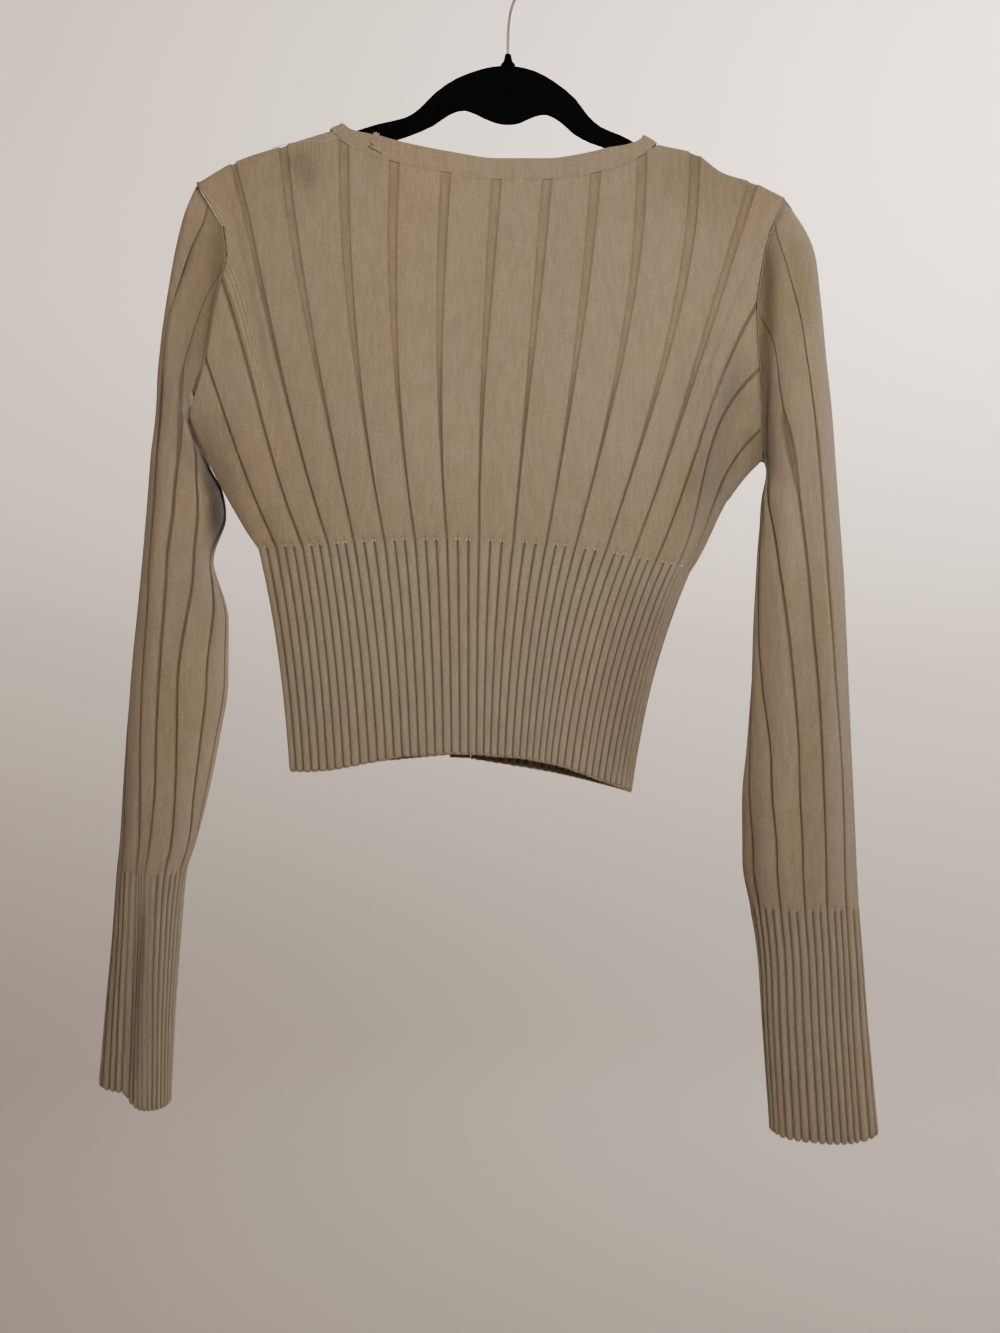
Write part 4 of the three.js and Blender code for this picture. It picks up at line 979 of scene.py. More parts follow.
def sleeve(name, rows, rib_angles, back_half, front_half, shift, creases, hollows, cuff_end):
    """A sleeve of sections from the armhole to the cuff's end, its rib lines at their angles."""
    top = armhole_ring(back_half, front_half, np.array([0, np.pi]), shift)
    start = (top[0, 0], top[0, 2], top[1, 0], top[1, 2], 0, rows[0][5], 1)
    columns = SLEEVE_COLUMNS.split()
    start_section = dict(zip(columns, start))
    sections = table("at " + SLEEVE_COLUMNS, *[(k, *row) for k, row in enumerate([start, *rows])])
    middles = np.stack([sections["out_x"] + sections["in_x"],
                        sections["out_z"] + sections["in_z"]], -1) / 2
    run = edge_run(middles)
    cuff_run, end_run = run[CUFF_SECTION], run[-1]
    places = sleeve_places(cuff_run, end_run)
    at = np.interp(places, run, sections["at"])
    rib_knots = np.arange(-1, SLEEVE_RIBS + 2)
    turns = np.radians([along(rib_angles, "at", f"r{k % SLEEVE_RIBS}", at)
                        + 360 * (k // SLEEVE_RIBS) for k in rib_knots]).T

    def surface_at(rib):
        """Points of the sleeve at rib numbers, a row for each place down it."""
        grid = np.empty(rib.shape + (3,))
        for i, section_at in enumerate(at):
            angles = np.mod(np.interp(rib[i], rib_knots, turns[i]), 2 * np.pi)
            section = {key: along(sections, "at", key, section_at) for key in columns}
            calm = np.sin(np.pi * section_at / len(rows)) ** 2
            grid[i] = section_points(section, angles, calm)
            if section["ring"] > 1e-4:
                own = (armhole_ring(back_half, front_half, angles, shift)
                       - section_points(start_section, angles, 0))
                grid[i] += own * section["ring"]
        return grid

    lines = rib_lines(0, SLEEVE_RIBS, closed=True)
    whole = np.broadcast_to(np.mod(lines[0], SLEEVE_RIBS), (len(places), lines.shape[1]))
    above = np.broadcast_to((cuff_run - places)[:, None], whole.shape)
    arc = surface_at(whole + 0.4) - surface_at(whole - 0.4)
    pitch = np.linalg.norm(arc, axis=-1) / 0.8
    rib = spread_lines(lines, above, np.maximum(pitch, SLEEVE_PITCH), SLEEVE_OPENING)
    grid = surface_at(rib)
    end_gap = end_run - places
    sag = smoothstep(CUFF_SAG, 0, end_gap)[:, None]
    grid[..., 2] -= along(cuff_end, "x", "drop", grid[..., 0]) * sag
    grid = relaxed(grid, grid[0, np.argmin(grid[0, :, 2])])
    centre = grid.mean(axis=1, keepdims=True)
    grid = creased(grid, centre, creases, places)
    normals = ring_normals(grid, centre)
    relief, dark, purl = knit_relief(rib, above, pitch, pitch, SLEEVE_OPENING, 1)
    row_gap = np.linalg.norm(np.gradient(grid, axis=0), axis=-1)
    apart = np.where(places[:, None] > UNDERARM_END, 1, smoothstep(0.6, 1.6, row_gap))
    open_ribs = smoothstep(5, 12, pitch) * apart
    grid[..., 2] -= scallop(CUFF_SCALLOP, relief, end_gap[:, None])
    relief *= lerp(0.1, 1, smoothstep(0, ARMHOLE_CALM, places))[:, None] * open_ribs
    relief -= 0.7 * bell(places, 1.8)[:, None]
    relief -= edge_rounding(end_gap)[:, None]
    normals[0, :, 0] = 0
    normals[0] = unit(normals[0])
    # painted shade along the armhole seam
    edge_dark = 0.5 * bell(places, 1.6)[:, None]
    length = np.broadcast_to(end_gap[:, None], rib.shape)
    on_show = smoothstep(-0.6, -0.1, -normals[..., 1])     # painted shade goes on the back only
    painted_hollow_shade = hollow_shade(hollows, grid[..., 0], grid[..., 2]) * on_show
    deep = deep_shade(hollows, grid[..., 0], grid[..., 2]) * on_show
    masks = {"ribbed": smoothstep(2, -2, above), "purl": purl * open_ribs, "painted_hollow_shade": painted_hollow_shade}
    # the grooves' painted shade, the armhole seam's, and the deepest painted shade of the hollows
    dark = np.maximum.reduce([dark * open_ribs, np.broadcast_to(edge_dark, dark.shape), deep])
    piece = knit_shell(name, grid, normals, relief, dark, rib, length, ring=True, masks=masks)
    return piece, {"rib": rib, "grid": grid, "normals": normals, "relief": relief}


def relaxed(grid, corner):
    """The grid with its rows evened out round the underarm corner, where they crowd together."""
    grid = grid.copy()
    for _ in range(UNDERARM_PASSES):
        away = np.linalg.norm((grid - corner)[..., [0, 2]], axis=-1)
        near = smoothstep(UNDERARM_REACH, UNDERARM_REACH / 3, away)[1:-1, :, None]
        across = (np.roll(grid, 1, 1) + np.roll(grid, -1, 1))[1:-1]
        even = (across + grid[2:] + grid[:-2]) / 4
        grid[1:-1] += (even - grid[1:-1]) * near
    return grid


def ring_normals(grid, centre):
    """Unit normals of a tube's grid, pointing away from its middle line."""
    normals = grid_normals(grid, True)
    return normals * np.sign(np.sum((grid - centre) * normals, axis=(1, 2)).mean())


left_back_half = armhole_half(back_surface, LEFT_SIDE, LEFT_SHOULDER, True)
left_front_half = armhole_half(left_surface, LEFT_SIDE, LEFT_SHOULDER, True)
right_back_half = armhole_half(back_surface, RIGHT_SHOULDER, RIGHT_SIDE, False)
right_front_half = armhole_half(right_surface, RIGHT_SHOULDER, RIGHT_SIDE, False)
sleeve_left, sleeve_left_surface = sleeve(
    "sleeve_left_knit", SLEEVE_LEFT, SLEEVE_LEFT_RIBS, left_back_half, left_front_half,
    -2 * HALF_GAP, SLEEVE_LEFT_CREASES, SLEEVE_LEFT_HOLLOWS, CUFF_END_LEFT)
sleeve_right, sleeve_right_surface = sleeve(
    "sleeve_right_knit", SLEEVE_RIGHT, SLEEVE_RIGHT_RIBS, right_back_half, right_front_half,
    2 * HALF_GAP, SLEEVE_RIGHT_CREASES, SLEEVE_RIGHT_HOLLOWS, CUFF_END_RIGHT)


# ---- shader node groups ----
SOCKETS = {"value": "NodeSocketFloat", "colour": "NodeSocketColor", "vector": "NodeSocketVector",
           "shape": "NodeSocketGeometry", "finish": "NodeSocketMaterial"}


def new_tree(name, kind, inputs, outputs):
    """A node group with its sockets, and its input and output nodes. Each input is a name, a
    kind and, where it has one, its usual value."""
    tree = bpy.data.node_groups.new(name, kind)
    for socket_name, socket_kind, *usual in inputs:
        socket = tree.interface.new_socket(socket_name, in_out="INPUT",
                                           socket_type=SOCKETS[socket_kind])
        if usual:
            socket.default_value = usual[0]
    for socket_name, socket_kind in outputs:
        tree.interface.new_socket(socket_name, in_out="OUTPUT", socket_type=SOCKETS[socket_kind])
    return tree, tree.nodes.new("NodeGroupInput").outputs, tree.nodes.new("NodeGroupOutput").inputs


def feed(tree, socket, value):
    """Links a socket to an input, or sets the input to a plain value."""
    if isinstance(value, bpy.types.NodeSocket):
        tree.links.new(value, socket)
    else:
        socket.default_value = value


def calc(tree, operation, *values):
    """A math node; values are numbers or sockets."""
    node = tree.nodes.new("ShaderNodeMath")
    node.operation = operation
    for socket, value in zip(node.inputs, values):
        feed(tree, socket, value)
    return node.outputs[0]


def blend(tree, amount, start, end, how="MIX"):
    """A colour mix node."""
    node = tree.nodes.new("ShaderNodeMix")
    node.data_type, node.blend_type = "RGBA", how
    feed(tree, node.inputs[0], amount)
    feed(tree, node.inputs[6], start)
    feed(tree, node.inputs[7], end)
    return node.outputs[2]


def tint_where(tree, amount, colour, tint):
    """A colour that takes on a tint as the amount goes from 0 to 1."""
    return blend(tree, amount, colour, blend(tree, 1.0, colour, tint, "MULTIPLY"))


def tint_but(tree, amount, colour, tint):
    """A colour that loses a tint as the amount goes from 0 to 1."""
    return blend(tree, amount, blend(tree, 1.0, colour, tint, "MULTIPLY"), colour)


def noise(tree, place, scale, detail=2.0, stretch=None):
    """A noise texture's value."""
    if stretch:
        mapping = tree.nodes.new("ShaderNodeMapping")
        mapping.inputs["Scale"].default_value = stretch
        tree.links.new(place, mapping.inputs["Vector"])
        place = mapping.outputs[0]
    node = tree.nodes.new("ShaderNodeTexNoise")
    node.inputs["Scale"].default_value = scale
    node.inputs["Detail"].default_value = detail
    tree.links.new(place, node.inputs["Vector"])
    return node.outputs[0]


def ramp(tree, value, low, high, start=0.0, end=1.0):
    """A value mapped smoothly from low..high to start..end."""
    node = tree.nodes.new("ShaderNodeMapRange")
    node.interpolation_type = "SMOOTHSTEP"
    for socket, number in zip(node.inputs, (value, low, high, start, end)):
        feed(tree, socket, number)
    return node.outputs[0]


def stitch_group():
    """Rows of knitted V stitches, and purl bumps in the channels between the ribs."""
    tree, taken, given = new_tree(
        "knitted_stitches", "ShaderNodeTree",
        [("Wales", "value"), ("Courses", "value"), ("Purl", "value")],
        [("Height", "value"), ("Shade", "value")])
    across = calc(tree, "ABSOLUTE", calc(tree, "SUBTRACT", calc(tree, "FRACT", taken["Wales"]), 0.5))
    slant = calc(tree, "MULTIPLY", across, 1.1)
    turn = calc(tree, "MULTIPLY", calc(tree, "ADD", taken["Courses"], slant), 2 * math.pi)
    leg = calc(tree, "MULTIPLY_ADD", calc(tree, "SINE", turn), 0.5, 0.5)
    wale = ramp(tree, across, 0.5, 0.12)
    plain = calc(tree, "MULTIPLY", wale, calc(tree, "MULTIPLY_ADD", leg, 0.4, 0.6))
    row = calc(tree, "SINE", calc(tree, "MULTIPLY", taken["Courses"], 2 * math.pi))
    bump = calc(tree, "MULTIPLY_ADD", calc(tree, "MULTIPLY", row, wale), 0.5, 0.5)
    mixed = tree.nodes.new("ShaderNodeMix")
    for socket, value in zip(mixed.inputs[:1] + mixed.inputs[2:4], (taken["Purl"], plain, bump)):
        feed(tree, socket, value)
    tree.links.new(mixed.outputs[0], given["Height"])
    # Shade: painted shade in the low places between stitches
    tree.links.new(ramp(tree, mixed.outputs[0], 0, 0.8), given["Shade"])
    return tree


def yarn_group():
    """Heathered yarn: soft pinkish and yellowish patches, thin streaks and fine flecks."""
    tree, taken, given = new_tree(
        "heathered_yarn", "ShaderNodeTree",
        [("Place", "vector"), ("Colour", "colour")], [("Colour", "colour")])
    place, colour = taken["Place"], taken["Colour"]
    pink = ramp(tree, noise(tree, place, 9, 2), 0.46, 0.66, 0, 0.55)
    colour = tint_where(tree, pink, colour, PINK_TINT)
    gold = ramp(tree, noise(tree, place, 6.5, 2, (1.3, 1, 1)), 0.50, 0.68, 0, 0.5)
    colour = tint_where(tree, gold, colour, GOLD_TINT)
    cloud = ramp(tree, noise(tree, place, 16, 3, (1, 1, 0.5)), 0.3, 0.7)
    colour = tint_but(tree, cloud, colour, CLOUD_SHADE)
    streak = ramp(tree, noise(tree, place, 330, 2, (1, 1, 0.16)), 0.3, 0.7)
    colour = tint_but(tree, streak, colour, STREAK_SHADE)
    fleck = ramp(tree, noise(tree, place, 800, 1), 0.35, 0.7)
    colour = tint_but(tree, fleck, colour, FLECK_SHADE)
    tree.links.new(colour, given["Colour"])
    return tree


# ---- materials ----
KNIT = (0.300, 0.2375, 0.157)
SEAM_YARN = (0.40, 0.32, 0.225)
DARK_YARN = (0.12, 0.085, 0.055)
FLOCK = (0.0012, 0.0012, 0.0013)
LINT = (0.10, 0.09, 0.08, 1)
BUTTON = (0.235, 0.170, 0.108)
PLASTER = (0.86, 0.765, 0.68)
# Tints and shades that the cloth's own colour is multiplied by.
PINK_TINT = (1.07, 0.985, 0.98, 1)
GOLD_TINT = (1.03, 1.02, 0.88, 1)
CLOUD_SHADE = (0.955, 0.95, 0.94, 1)
STREAK_SHADE = (0.87, 0.865, 0.86, 1)
FLECK_SHADE = (0.86, 0.85, 0.84, 1)
# Painted shade: in grooves and seams, between stitches, in the purl channels and in hollows.
GROOVE_SHADE = (0.26, 0.225, 0.19, 1)
GAP_SHADE = (0.84, 0.83, 0.82, 1)        # painted shade between stitches
PURL_SHADE = (0.88, 0.87, 0.85, 1)
HOLLOW_SHADE = (0.34, 0.31, 0.28, 1)
RIBBED_TINT = (1.01, 1.06, 1.11, 1)      # the narrow ribs look a little cooler


def material(name, colour, roughness, metallic=0.0, sheen=0.0, shine=0.5):
    """A node material with its uniform values on the shader's own sockets."""
    made = bpy.data.materials.new(name)
    made.use_nodes = True
    shader = made.node_tree.nodes["Principled BSDF"]
    shader.inputs["Base Color"].default_value = (*colour, 1)
    shader.inputs["Roughness"].default_value = roughness
    shader.inputs["Metallic"].default_value = metallic
    shader.inputs["Specular IOR Level"].default_value = shine
    shader.inputs["Sheen Weight"].default_value = sheen
    return made, made.node_tree, shader


def add_bump(tree, shader, height, depth_mm, strength):
    """Roughens a shader's surface by a height from 0 to 1."""
    node = tree.nodes.new("ShaderNodeBump")
    node.inputs["Strength"].default_value = strength
    node.inputs["Distance"].default_value = depth_mm * MM
    tree.links.new(height, node.inputs["Height"])
    tree.links.new(node.outputs[0], shader.inputs["Normal"])


def object_place(tree):
    """Places on a piece, in metres."""
    return tree.nodes.new("ShaderNodeTexCoord").outputs["Object"]


def group_node(tree, group, **values):
    """A group in a material, its inputs given by name with _ for a space."""
    node = tree.nodes.new("ShaderNodeGroup")
    node.node_tree = group
    for name, value in values.items():
        feed(tree, node.inputs[name.replace("_", " ")], value)
    return node.outputs


def mask(tree, name):
    """One of a knitted wall's masks."""
    node = tree.nodes.new("ShaderNodeAttribute")
    node.attribute_name = name
    return node.outputs["Fac"]


def knit_material(name, colour, wales, courses):
    """Knitted cloth: wales across each rib of the UV map, courses along it."""
    made, tree, shader = material(name, colour, 0.93, sheen=0.22, shine=0.18)
    shader.inputs["Sheen Roughness"].default_value = 0.55
    uv = tree.nodes.new("ShaderNodeUVMap")
    uv.uv_map = "knit"
    split = tree.nodes.new("ShaderNodeSeparateXYZ")
    tree.links.new(uv.outputs[0], split.inputs[0])
    stitch = group_node(
        tree, STITCHES, Wales=calc(tree, "MULTIPLY", split.outputs[0], wales),
        Courses=calc(tree, "MULTIPLY", split.outputs[1], courses), Purl=mask(tree, "purl"))
    plain = group_node(tree, YARN, Place=object_place(tree), Colour=(*colour, 1))["Colour"]
    cloth = tint_where(tree, mask(tree, "ribbed"), plain, RIBBED_TINT)
    # painted shade between stitches, then in the purl channels, in grooves and seams, and in hollows
    cloth = tint_but(tree, stitch["Shade"], cloth, GAP_SHADE)
    for where, shade in (("purl", PURL_SHADE), ("groove", GROOVE_SHADE), ("painted_hollow_shade", HOLLOW_SHADE)):
        cloth = tint_where(tree, mask(tree, where), cloth, shade)
    tree.links.new(cloth, shader.inputs["Base Color"])
    add_bump(tree, shader, stitch["Height"], 0.5, 0.7)
    return made


def yarn_material(name, colour):
    """Loose yarn, for stitches that stand on the cloth."""
    made, tree, shader = material(name, colour, 0.9, sheen=0.25, shine=0.2)
    yarn = group_node(tree, YARN, Place=object_place(tree), Colour=(*colour, 1))["Colour"]
    tree.links.new(yarn, shader.inputs["Base Color"])
    add_bump(tree, shader, noise(tree, object_place(tree), 900, 2), 0.2, 0.6)
    return made


def flock_material():
    """Short black flock with pale lint on it."""
    made, tree, shader = material("black_flock", FLOCK, 1.0, shine=0.02)
    place = object_place(tree)
    lint = tree.nodes.new("ShaderNodeTexVoronoi")
    lint.inputs["Scale"].default_value = 95
    tree.links.new(place, lint.inputs["Vector"])
    near = ramp(tree, lint.outputs["Distance"], 0.09, 0.05)
    here = ramp(tree, noise(tree, place, 30, 2), 0.60, 0.66)
    nap = ramp(tree, noise(tree, place, 900, 2), 0.3, 0.7)
    colour = blend(tree, nap, (*FLOCK, 1), (*[3 * c for c in FLOCK], 1))
    colour = blend(tree, calc(tree, "MULTIPLY", near, here), colour, LINT)
    tree.links.new(colour, shader.inputs["Base Color"])
    add_bump(tree, shader, noise(tree, place, 1500, 2), 0.15, 0.5)
    return made


def chrome_material():
    """Bright plated wire, rubbed a little duller in places."""
    made, tree, shader = material("bright_wire", (0.62, 0.61, 0.60), 0.16, metallic=1.0)
    rub = noise(tree, object_place(tree), 260, 3, (1, 1, 0.2))
    tree.links.new(ramp(tree, rub, 0.3, 0.75, 0.10, 0.28), shader.inputs["Roughness"])
    return made


def button_material():
    """Satin moulded buttons with faint swirls."""
    made, tree, shader = material("button_satin", BUTTON, 0.38)
    place = object_place(tree)
    swirl = ramp(tree, noise(tree, place, 190, 4, (1, 1, 2.2)), 0.35, 0.65)
    colour = blend(tree, swirl, (*[0.8 * c for c in BUTTON], 1), (*BUTTON, 1))
    tree.links.new(colour, shader.inputs["Base Color"])
    tree.links.new(ramp(tree, noise(tree, place, 500, 2), 0.3, 0.7, 0.3, 0.46),
                   shader.inputs["Roughness"])
    return made


STITCHES, YARN = stitch_group(), yarn_group()
COURSES = 1 / UV_PER_MM / COURSE         # in one unit of the UV map
knit = knit_material("rib_knit", KNIT, WALES_PER_RIB, COURSES)
band_knit = knit_material("band_knit", KNIT, BAND_WALES, COURSES)
seam_yarn = yarn_material("seam_yarn", SEAM_YARN)
# yarn darkened as painted shade, for the neckband's join
dark_yarn = yarn_material("shadowed_yarn", DARK_YARN)
flock = flock_material()
chrome = chrome_material()
button_satin = button_material()

for piece, cloth, slot, node in (
        (back, knit, "knit", "back"),
        (front_left, knit, "knit", "front_left"),
        (front_right, knit, "knit", "front_right"),
        (neckband, band_knit, "band_knit", "neckband"),
        (button_band, band_knit, "band_knit", "button_band"),
        (hole_band, band_knit, "band_knit", "buttonhole_band"),
        (sleeve_left, knit, "knit", "sleeve_left"),
        (sleeve_right, knit, "knit", "sleeve_right")):
    finish_piece(piece, cloth, [node])


# ---- stitches, edges and other small work in yarn ----
def stitch_tree():
    """A yarn stitch at each point of a row, lying along the row's "way" attribute."""
    tree, taken, given = new_tree(
        "stitch_row", "GeometryNodeTree",
        [("Row", "shape"), ("Length", "value", 0.001), ("Thickness", "value", 0.0004),
         ("Unevenness", "value", 0.15), ("Yarn", "finish")], [("Stitches", "shape")])
    add = tree.nodes.new
    stitch = add("GeometryNodeMeshUVSphere")
    stitch.inputs["Segments"].default_value = 6
    stitch.inputs["Rings"].default_value = 5
    stitch.inputs["Radius"].default_value = 0.5
    way = add("GeometryNodeInputNamedAttribute")
    way.data_type = "FLOAT_VECTOR"
    way.inputs["Name"].default_value = "way"
    turn = add("FunctionNodeAlignRotationToVector")
    turn.axis = "Z"
    tree.links.new(way.outputs[0], turn.inputs["Vector"])
    uneven = add("FunctionNodeRandomValue")
    uneven.inputs["Seed"].default_value = 7
    tree.links.new(calc(tree, "SUBTRACT", 1, taken["Unevenness"]), uneven.inputs[2])
    tree.links.new(calc(tree, "ADD", 1, taken["Unevenness"]), uneven.inputs[3])
    size = add("ShaderNodeCombineXYZ")
    thick = calc(tree, "MULTIPLY", taken["Thickness"], uneven.outputs[1])
    for socket, value in zip(size.inputs, (thick, thick, taken["Length"])):
        tree.links.new(value, socket)
    instances = add("GeometryNodeInstanceOnPoints")
    tree.links.new(taken["Row"], instances.inputs["Points"])
    tree.links.new(stitch.outputs["Mesh"], instances.inputs["Instance"])
    tree.links.new(turn.outputs[0], instances.inputs["Rotation"])
    tree.links.new(size.outputs[0], instances.inputs["Scale"])
    real = add("GeometryNodeRealizeInstances")
    paint = add("GeometryNodeSetMaterial")
    tree.links.new(instances.outputs[0], real.inputs[0])
    tree.links.new(real.outputs[0], paint.inputs["Geometry"])
    tree.links.new(taken["Yarn"], paint.inputs["Material"])
    tree.links.new(paint.outputs[0], given["Stitches"])
    return tree


STITCH_ROW = stitch_tree()


def made_by(row, tree, values):
    """The plain mesh that a node tree makes from a piece, which is then removed."""
    modifier = row.modifiers.new("made_by", "NODES")
    modifier.node_group = tree
    for item in tree.interface.items_tree:
        if item.in_out == "INPUT" and item.name in values:
            modifier[item.identifier] = values[item.name]
    evaluated = row.evaluated_get(bpy.context.evaluated_depsgraph_get())
    mesh = bpy.data.meshes.new_from_object(evaluated)
    row.modifiers.remove(modifier)
    bpy.data.objects.remove(row)
    return mesh


def stitches(name, points, ways, length, thickness, yarn, unevenness=0.15):
    """A row of stitches at places in mm, each along its way."""
    row = new_piece(name + "_row", points, [])
    attribute = row.data.attributes.new("way", "FLOAT_VECTOR", "POINT")
    attribute.data.foreach_set("vector", np.asarray(ways, np.float32).ravel())
    mesh = made_by(row, STITCH_ROW, {"Length": length * MM, "Thickness": thickness * MM,
                                     "Unevenness": unevenness, "Yarn": yarn})
    mesh.shade_smooth()
    piece = bpy.data.objects.new(name, mesh)
    bpy.context.scene.collection.objects.link(piece)
    finish_piece(piece, yarn)


def outer_face(surface, lift):
    """Points of a surface's outer face, raised by a lift."""
    return surface["grid"] + surface["normals"] * (surface["relief"] + lift)[..., None]


def evenly(points, spacing):
    """Points every so many mm along a line, and the line's direction at each."""
    run = edge_run(points)
    count = max(2, round(run[-1] / spacing))
    places = (np.arange(count) + 0.5) / count * run[-1]
    even = np.stack([np.interp(places, run, points[:, k]) for k in range(3)], -1)
    return even, unit(np.gradient(even, axis=0))


def seam(name, line, spacing, length, thickness):
    """A row of stitches along a line."""
    points, ways = evenly(line, spacing)
    stitches(name, points, ways, length, thickness, seam_yarn)


def edge_loops(name, line):
    """The small loops that a knitted edge ends in, hanging side by side."""
    points, ways = evenly(line, LOOP_SPACING)
    down = np.array([0, 0, -1.0])
    points = points + LOOP_DROP * down
    stitches(name, points, unit(ways * 0.25 + down), 1.7, 1.25, seam_yarn, 0.2)


def end_line(surface, row):
    """The middle of the cloth's wall along a hem or a cuff's end."""
    return outer_face(surface, -CLOTH / 2)[row]


def waist_bumps(name, surface, first, last):
    """The small raised stitches where each narrow rib begins, one on each side of it."""
    row = np.abs(surface["above"][:, 0] - WAIST_ROWS[0]).argmin()
    rib, face = surface["rib"][row], outer_face(surface, 0.12)
    narrow_ribs = range(round(NARROW_PER_WIDE * first), round(NARROW_PER_WIDE * last))
    places = [k / NARROW_PER_WIDE + side for k in narrow_ribs if k % NARROW_PER_WIDE
              for side in (-BUMP_PLACE, BUMP_PLACE)]
    end = min(rib[-1] - 0.02, LAST_BUMP)
    places = [place for place in places if rib[0] + 0.02 < place < end]
    points = np.stack([np.interp(places, rib, face[row, :, k]) for k in range(3)], -1)
    above = np.stack([np.interp(places, rib, face[row + 2, :, k]) for k in range(3)], -1)
    ways = unit(above - points)
    stitches(name, points - ways * 0.6, ways, 2.1, 1.15, seam_yarn, 0.25)


BUMP_PLACE = 0.05            # of the bumps on both sides of a narrow rib's groove, in ribs
LAST_BUMP = 14.4             # past this rib the knit is folded in too tightly for them
LOOP_SPACING, LOOP_DROP = 1.45, 0.15     # of the small loops along an edge
PANEL_PARTS = [("back", back_surface, LEFT_SIDE, RIGHT_SIDE),
               ("front_left", left_surface, LEFT_SIDE, LEFT_FRONT),
               ("front_right", right_surface, RIGHT_FRONT, RIGHT_SIDE)]
for part, surface, first, last in PANEL_PARTS:
    waist_bumps(f"waist_stitches_{part}", surface, first, last)
for part, surface, _, _ in PANEL_PARTS:
    edge_loops(f"hem_loops_{part}", end_line(surface, 0))
for side_name, surface in (("left", sleeve_left_surface), ("right", sleeve_right_surface)):
    cuff_end = end_line(surface, -1)
    edge_loops(f"cuff_loops_{side_name}", np.concatenate([cuff_end, cuff_end[:1]]))
    seam(f"armhole_stitches_{side_name}", outer_face(surface, -0.1)[1], 1.5, 1.35, 0.55)


def on_back(places, lift):
    """Points on the back's outer face at places given as x and z."""
    x, z = np.array(places, float).T
    return np.stack([x, -(HALF_GAP + cloth_depth(-1, x, z) + lift), z], -1)


LINKING = 1.35               # spacing of the linking stitches that join the bands on
NECK_LINKING_START = -119    # where they leave the shoulder for the neckband's own edge
# From the neckband the linking runs on over the left shoulder, a little behind its top.
SHOULDER_LINKING = [(-165, -154.5), (-156, -151.8), (-146, -150.4), (-136, -150), (-128, -150.6)]
neck_line = outer_face(neckband_surface, 0.3)[:, 0]
neck_line = neck_line[neck_line[:, 0] > NECK_LINKING_START]
seam("neckband_linking", np.concatenate([on_back(SHOULDER_LINKING, 0.45), neck_line]), LINKING, 1.3,
     0.75)
for part, surface in (("button_band", button_surface), ("hole_band", hole_surface)):
    seam(f"{part}_linking", outer_face(surface, 0.25)[2:-2, 0], LINKING, 1.3, 0.75)
shoulder_rib = back_surface["rib"][-3]
on_shoulder = (shoulder_rib >= RIGHT_NECK) & (shoulder_rib <= RIGHT_SHOULDER)
seam("shoulder_linking_right", outer_face(back_surface, 0.1)[-3, on_shoulder], LINKING, 1.2, 0.5)
# Where the neckband's two ends meet, its joining stitches show as short lines of painted shade.
JOIN_STITCHES = [(-96, -154.5), (-93.6, -156), (-91.2, -157.2), (-89, -158.6), (-94.4, -152.6)]
JOIN_WAYS = [(0.75, 0, -0.66)] * len(JOIN_STITCHES)
stitches("neckband_join", on_back(JOIN_STITCHES, 0.75), JOIN_WAYS, 3.4, 0.8, dark_yarn)
# A snagged loop beside them, and one light stitch lower on the back.
stitches("neckband_snag", on_back([(-91.7, -145.4), (-90.6, -145.8), (-92.6, -145.2)], 0.4),
         [(0.2, -0.4, 0.9), (0.7, -0.4, 0.6), (-0.5, -0.4, 0.8)], 3.2, 1.3, seam_yarn)
stitches("neckband_light_stitch", on_back([(9.1, -177.8)], 0.7), [(0.3, 0, 1)], 3.2, 0.9, seam_yarn)


# ---- turned and drawn pieces ----
def tube_faces(rings, sides):
    """Faces of rings of points, closed by the two points that follow them, one at each end."""
    faces = [(low + k, low + (k + 1) % sides, low + sides + (k + 1) % sides, low + sides + k)
             for low in range(0, (rings - 1) * sides, sides) for k in range(sides)]
    last, foot = (rings - 1) * sides, rings * sides
    for k in range(sides):
        after = (k + 1) % sides
        faces += [(foot, after, k), (foot + 1, last + k, last + after)]
    return faces


def turned(profile, sides):
    """A closed shape turned about the z axis from radius and height; both its ends lie on it."""
    rings = profile[1:-1]
    turns = [2 * math.pi * k / sides for k in range(sides)]
    points = [(radius * math.cos(turn), radius * math.sin(turn), z)
              for radius, z in rings for turn in turns]
    points += [(0, 0, profile[0][1]), (0, 0, profile[-1][1])]
    return points, tube_faces(len(rings), sides)


def drawn(path, radii, sides):
    """A round wire along a path, its ends closed."""
    path = np.asarray(path, float)
    ways = unit(np.gradient(path, axis=0))
    across = unit(np.cross(ways[0], (0.3, 0.9, 0.1)))
    points = []
    for place, way, radius in zip(path, ways, radii):
        across = unit(across - way * np.dot(across, way))
        other = np.cross(way, across)
        for k in range(sides):
            turn = 2 * math.pi * k / sides
            points.append(place + radius * (math.cos(turn) * across + math.sin(turn) * other))
    points += [path[0], path[-1]]
    return points, tube_faces(len(path), sides)


def smooth_path(points, step):
    """A smooth curve through a few points, at even steps."""
    points = np.asarray(points, float)
    run = edge_run(points)
    places = np.linspace(0, run[-1], max(4, round(run[-1] / step)))
    return np.stack([along({"at": run, "v": points[:, k]}, "at", "v", places)
                     for k in range(points.shape[1])], -1)


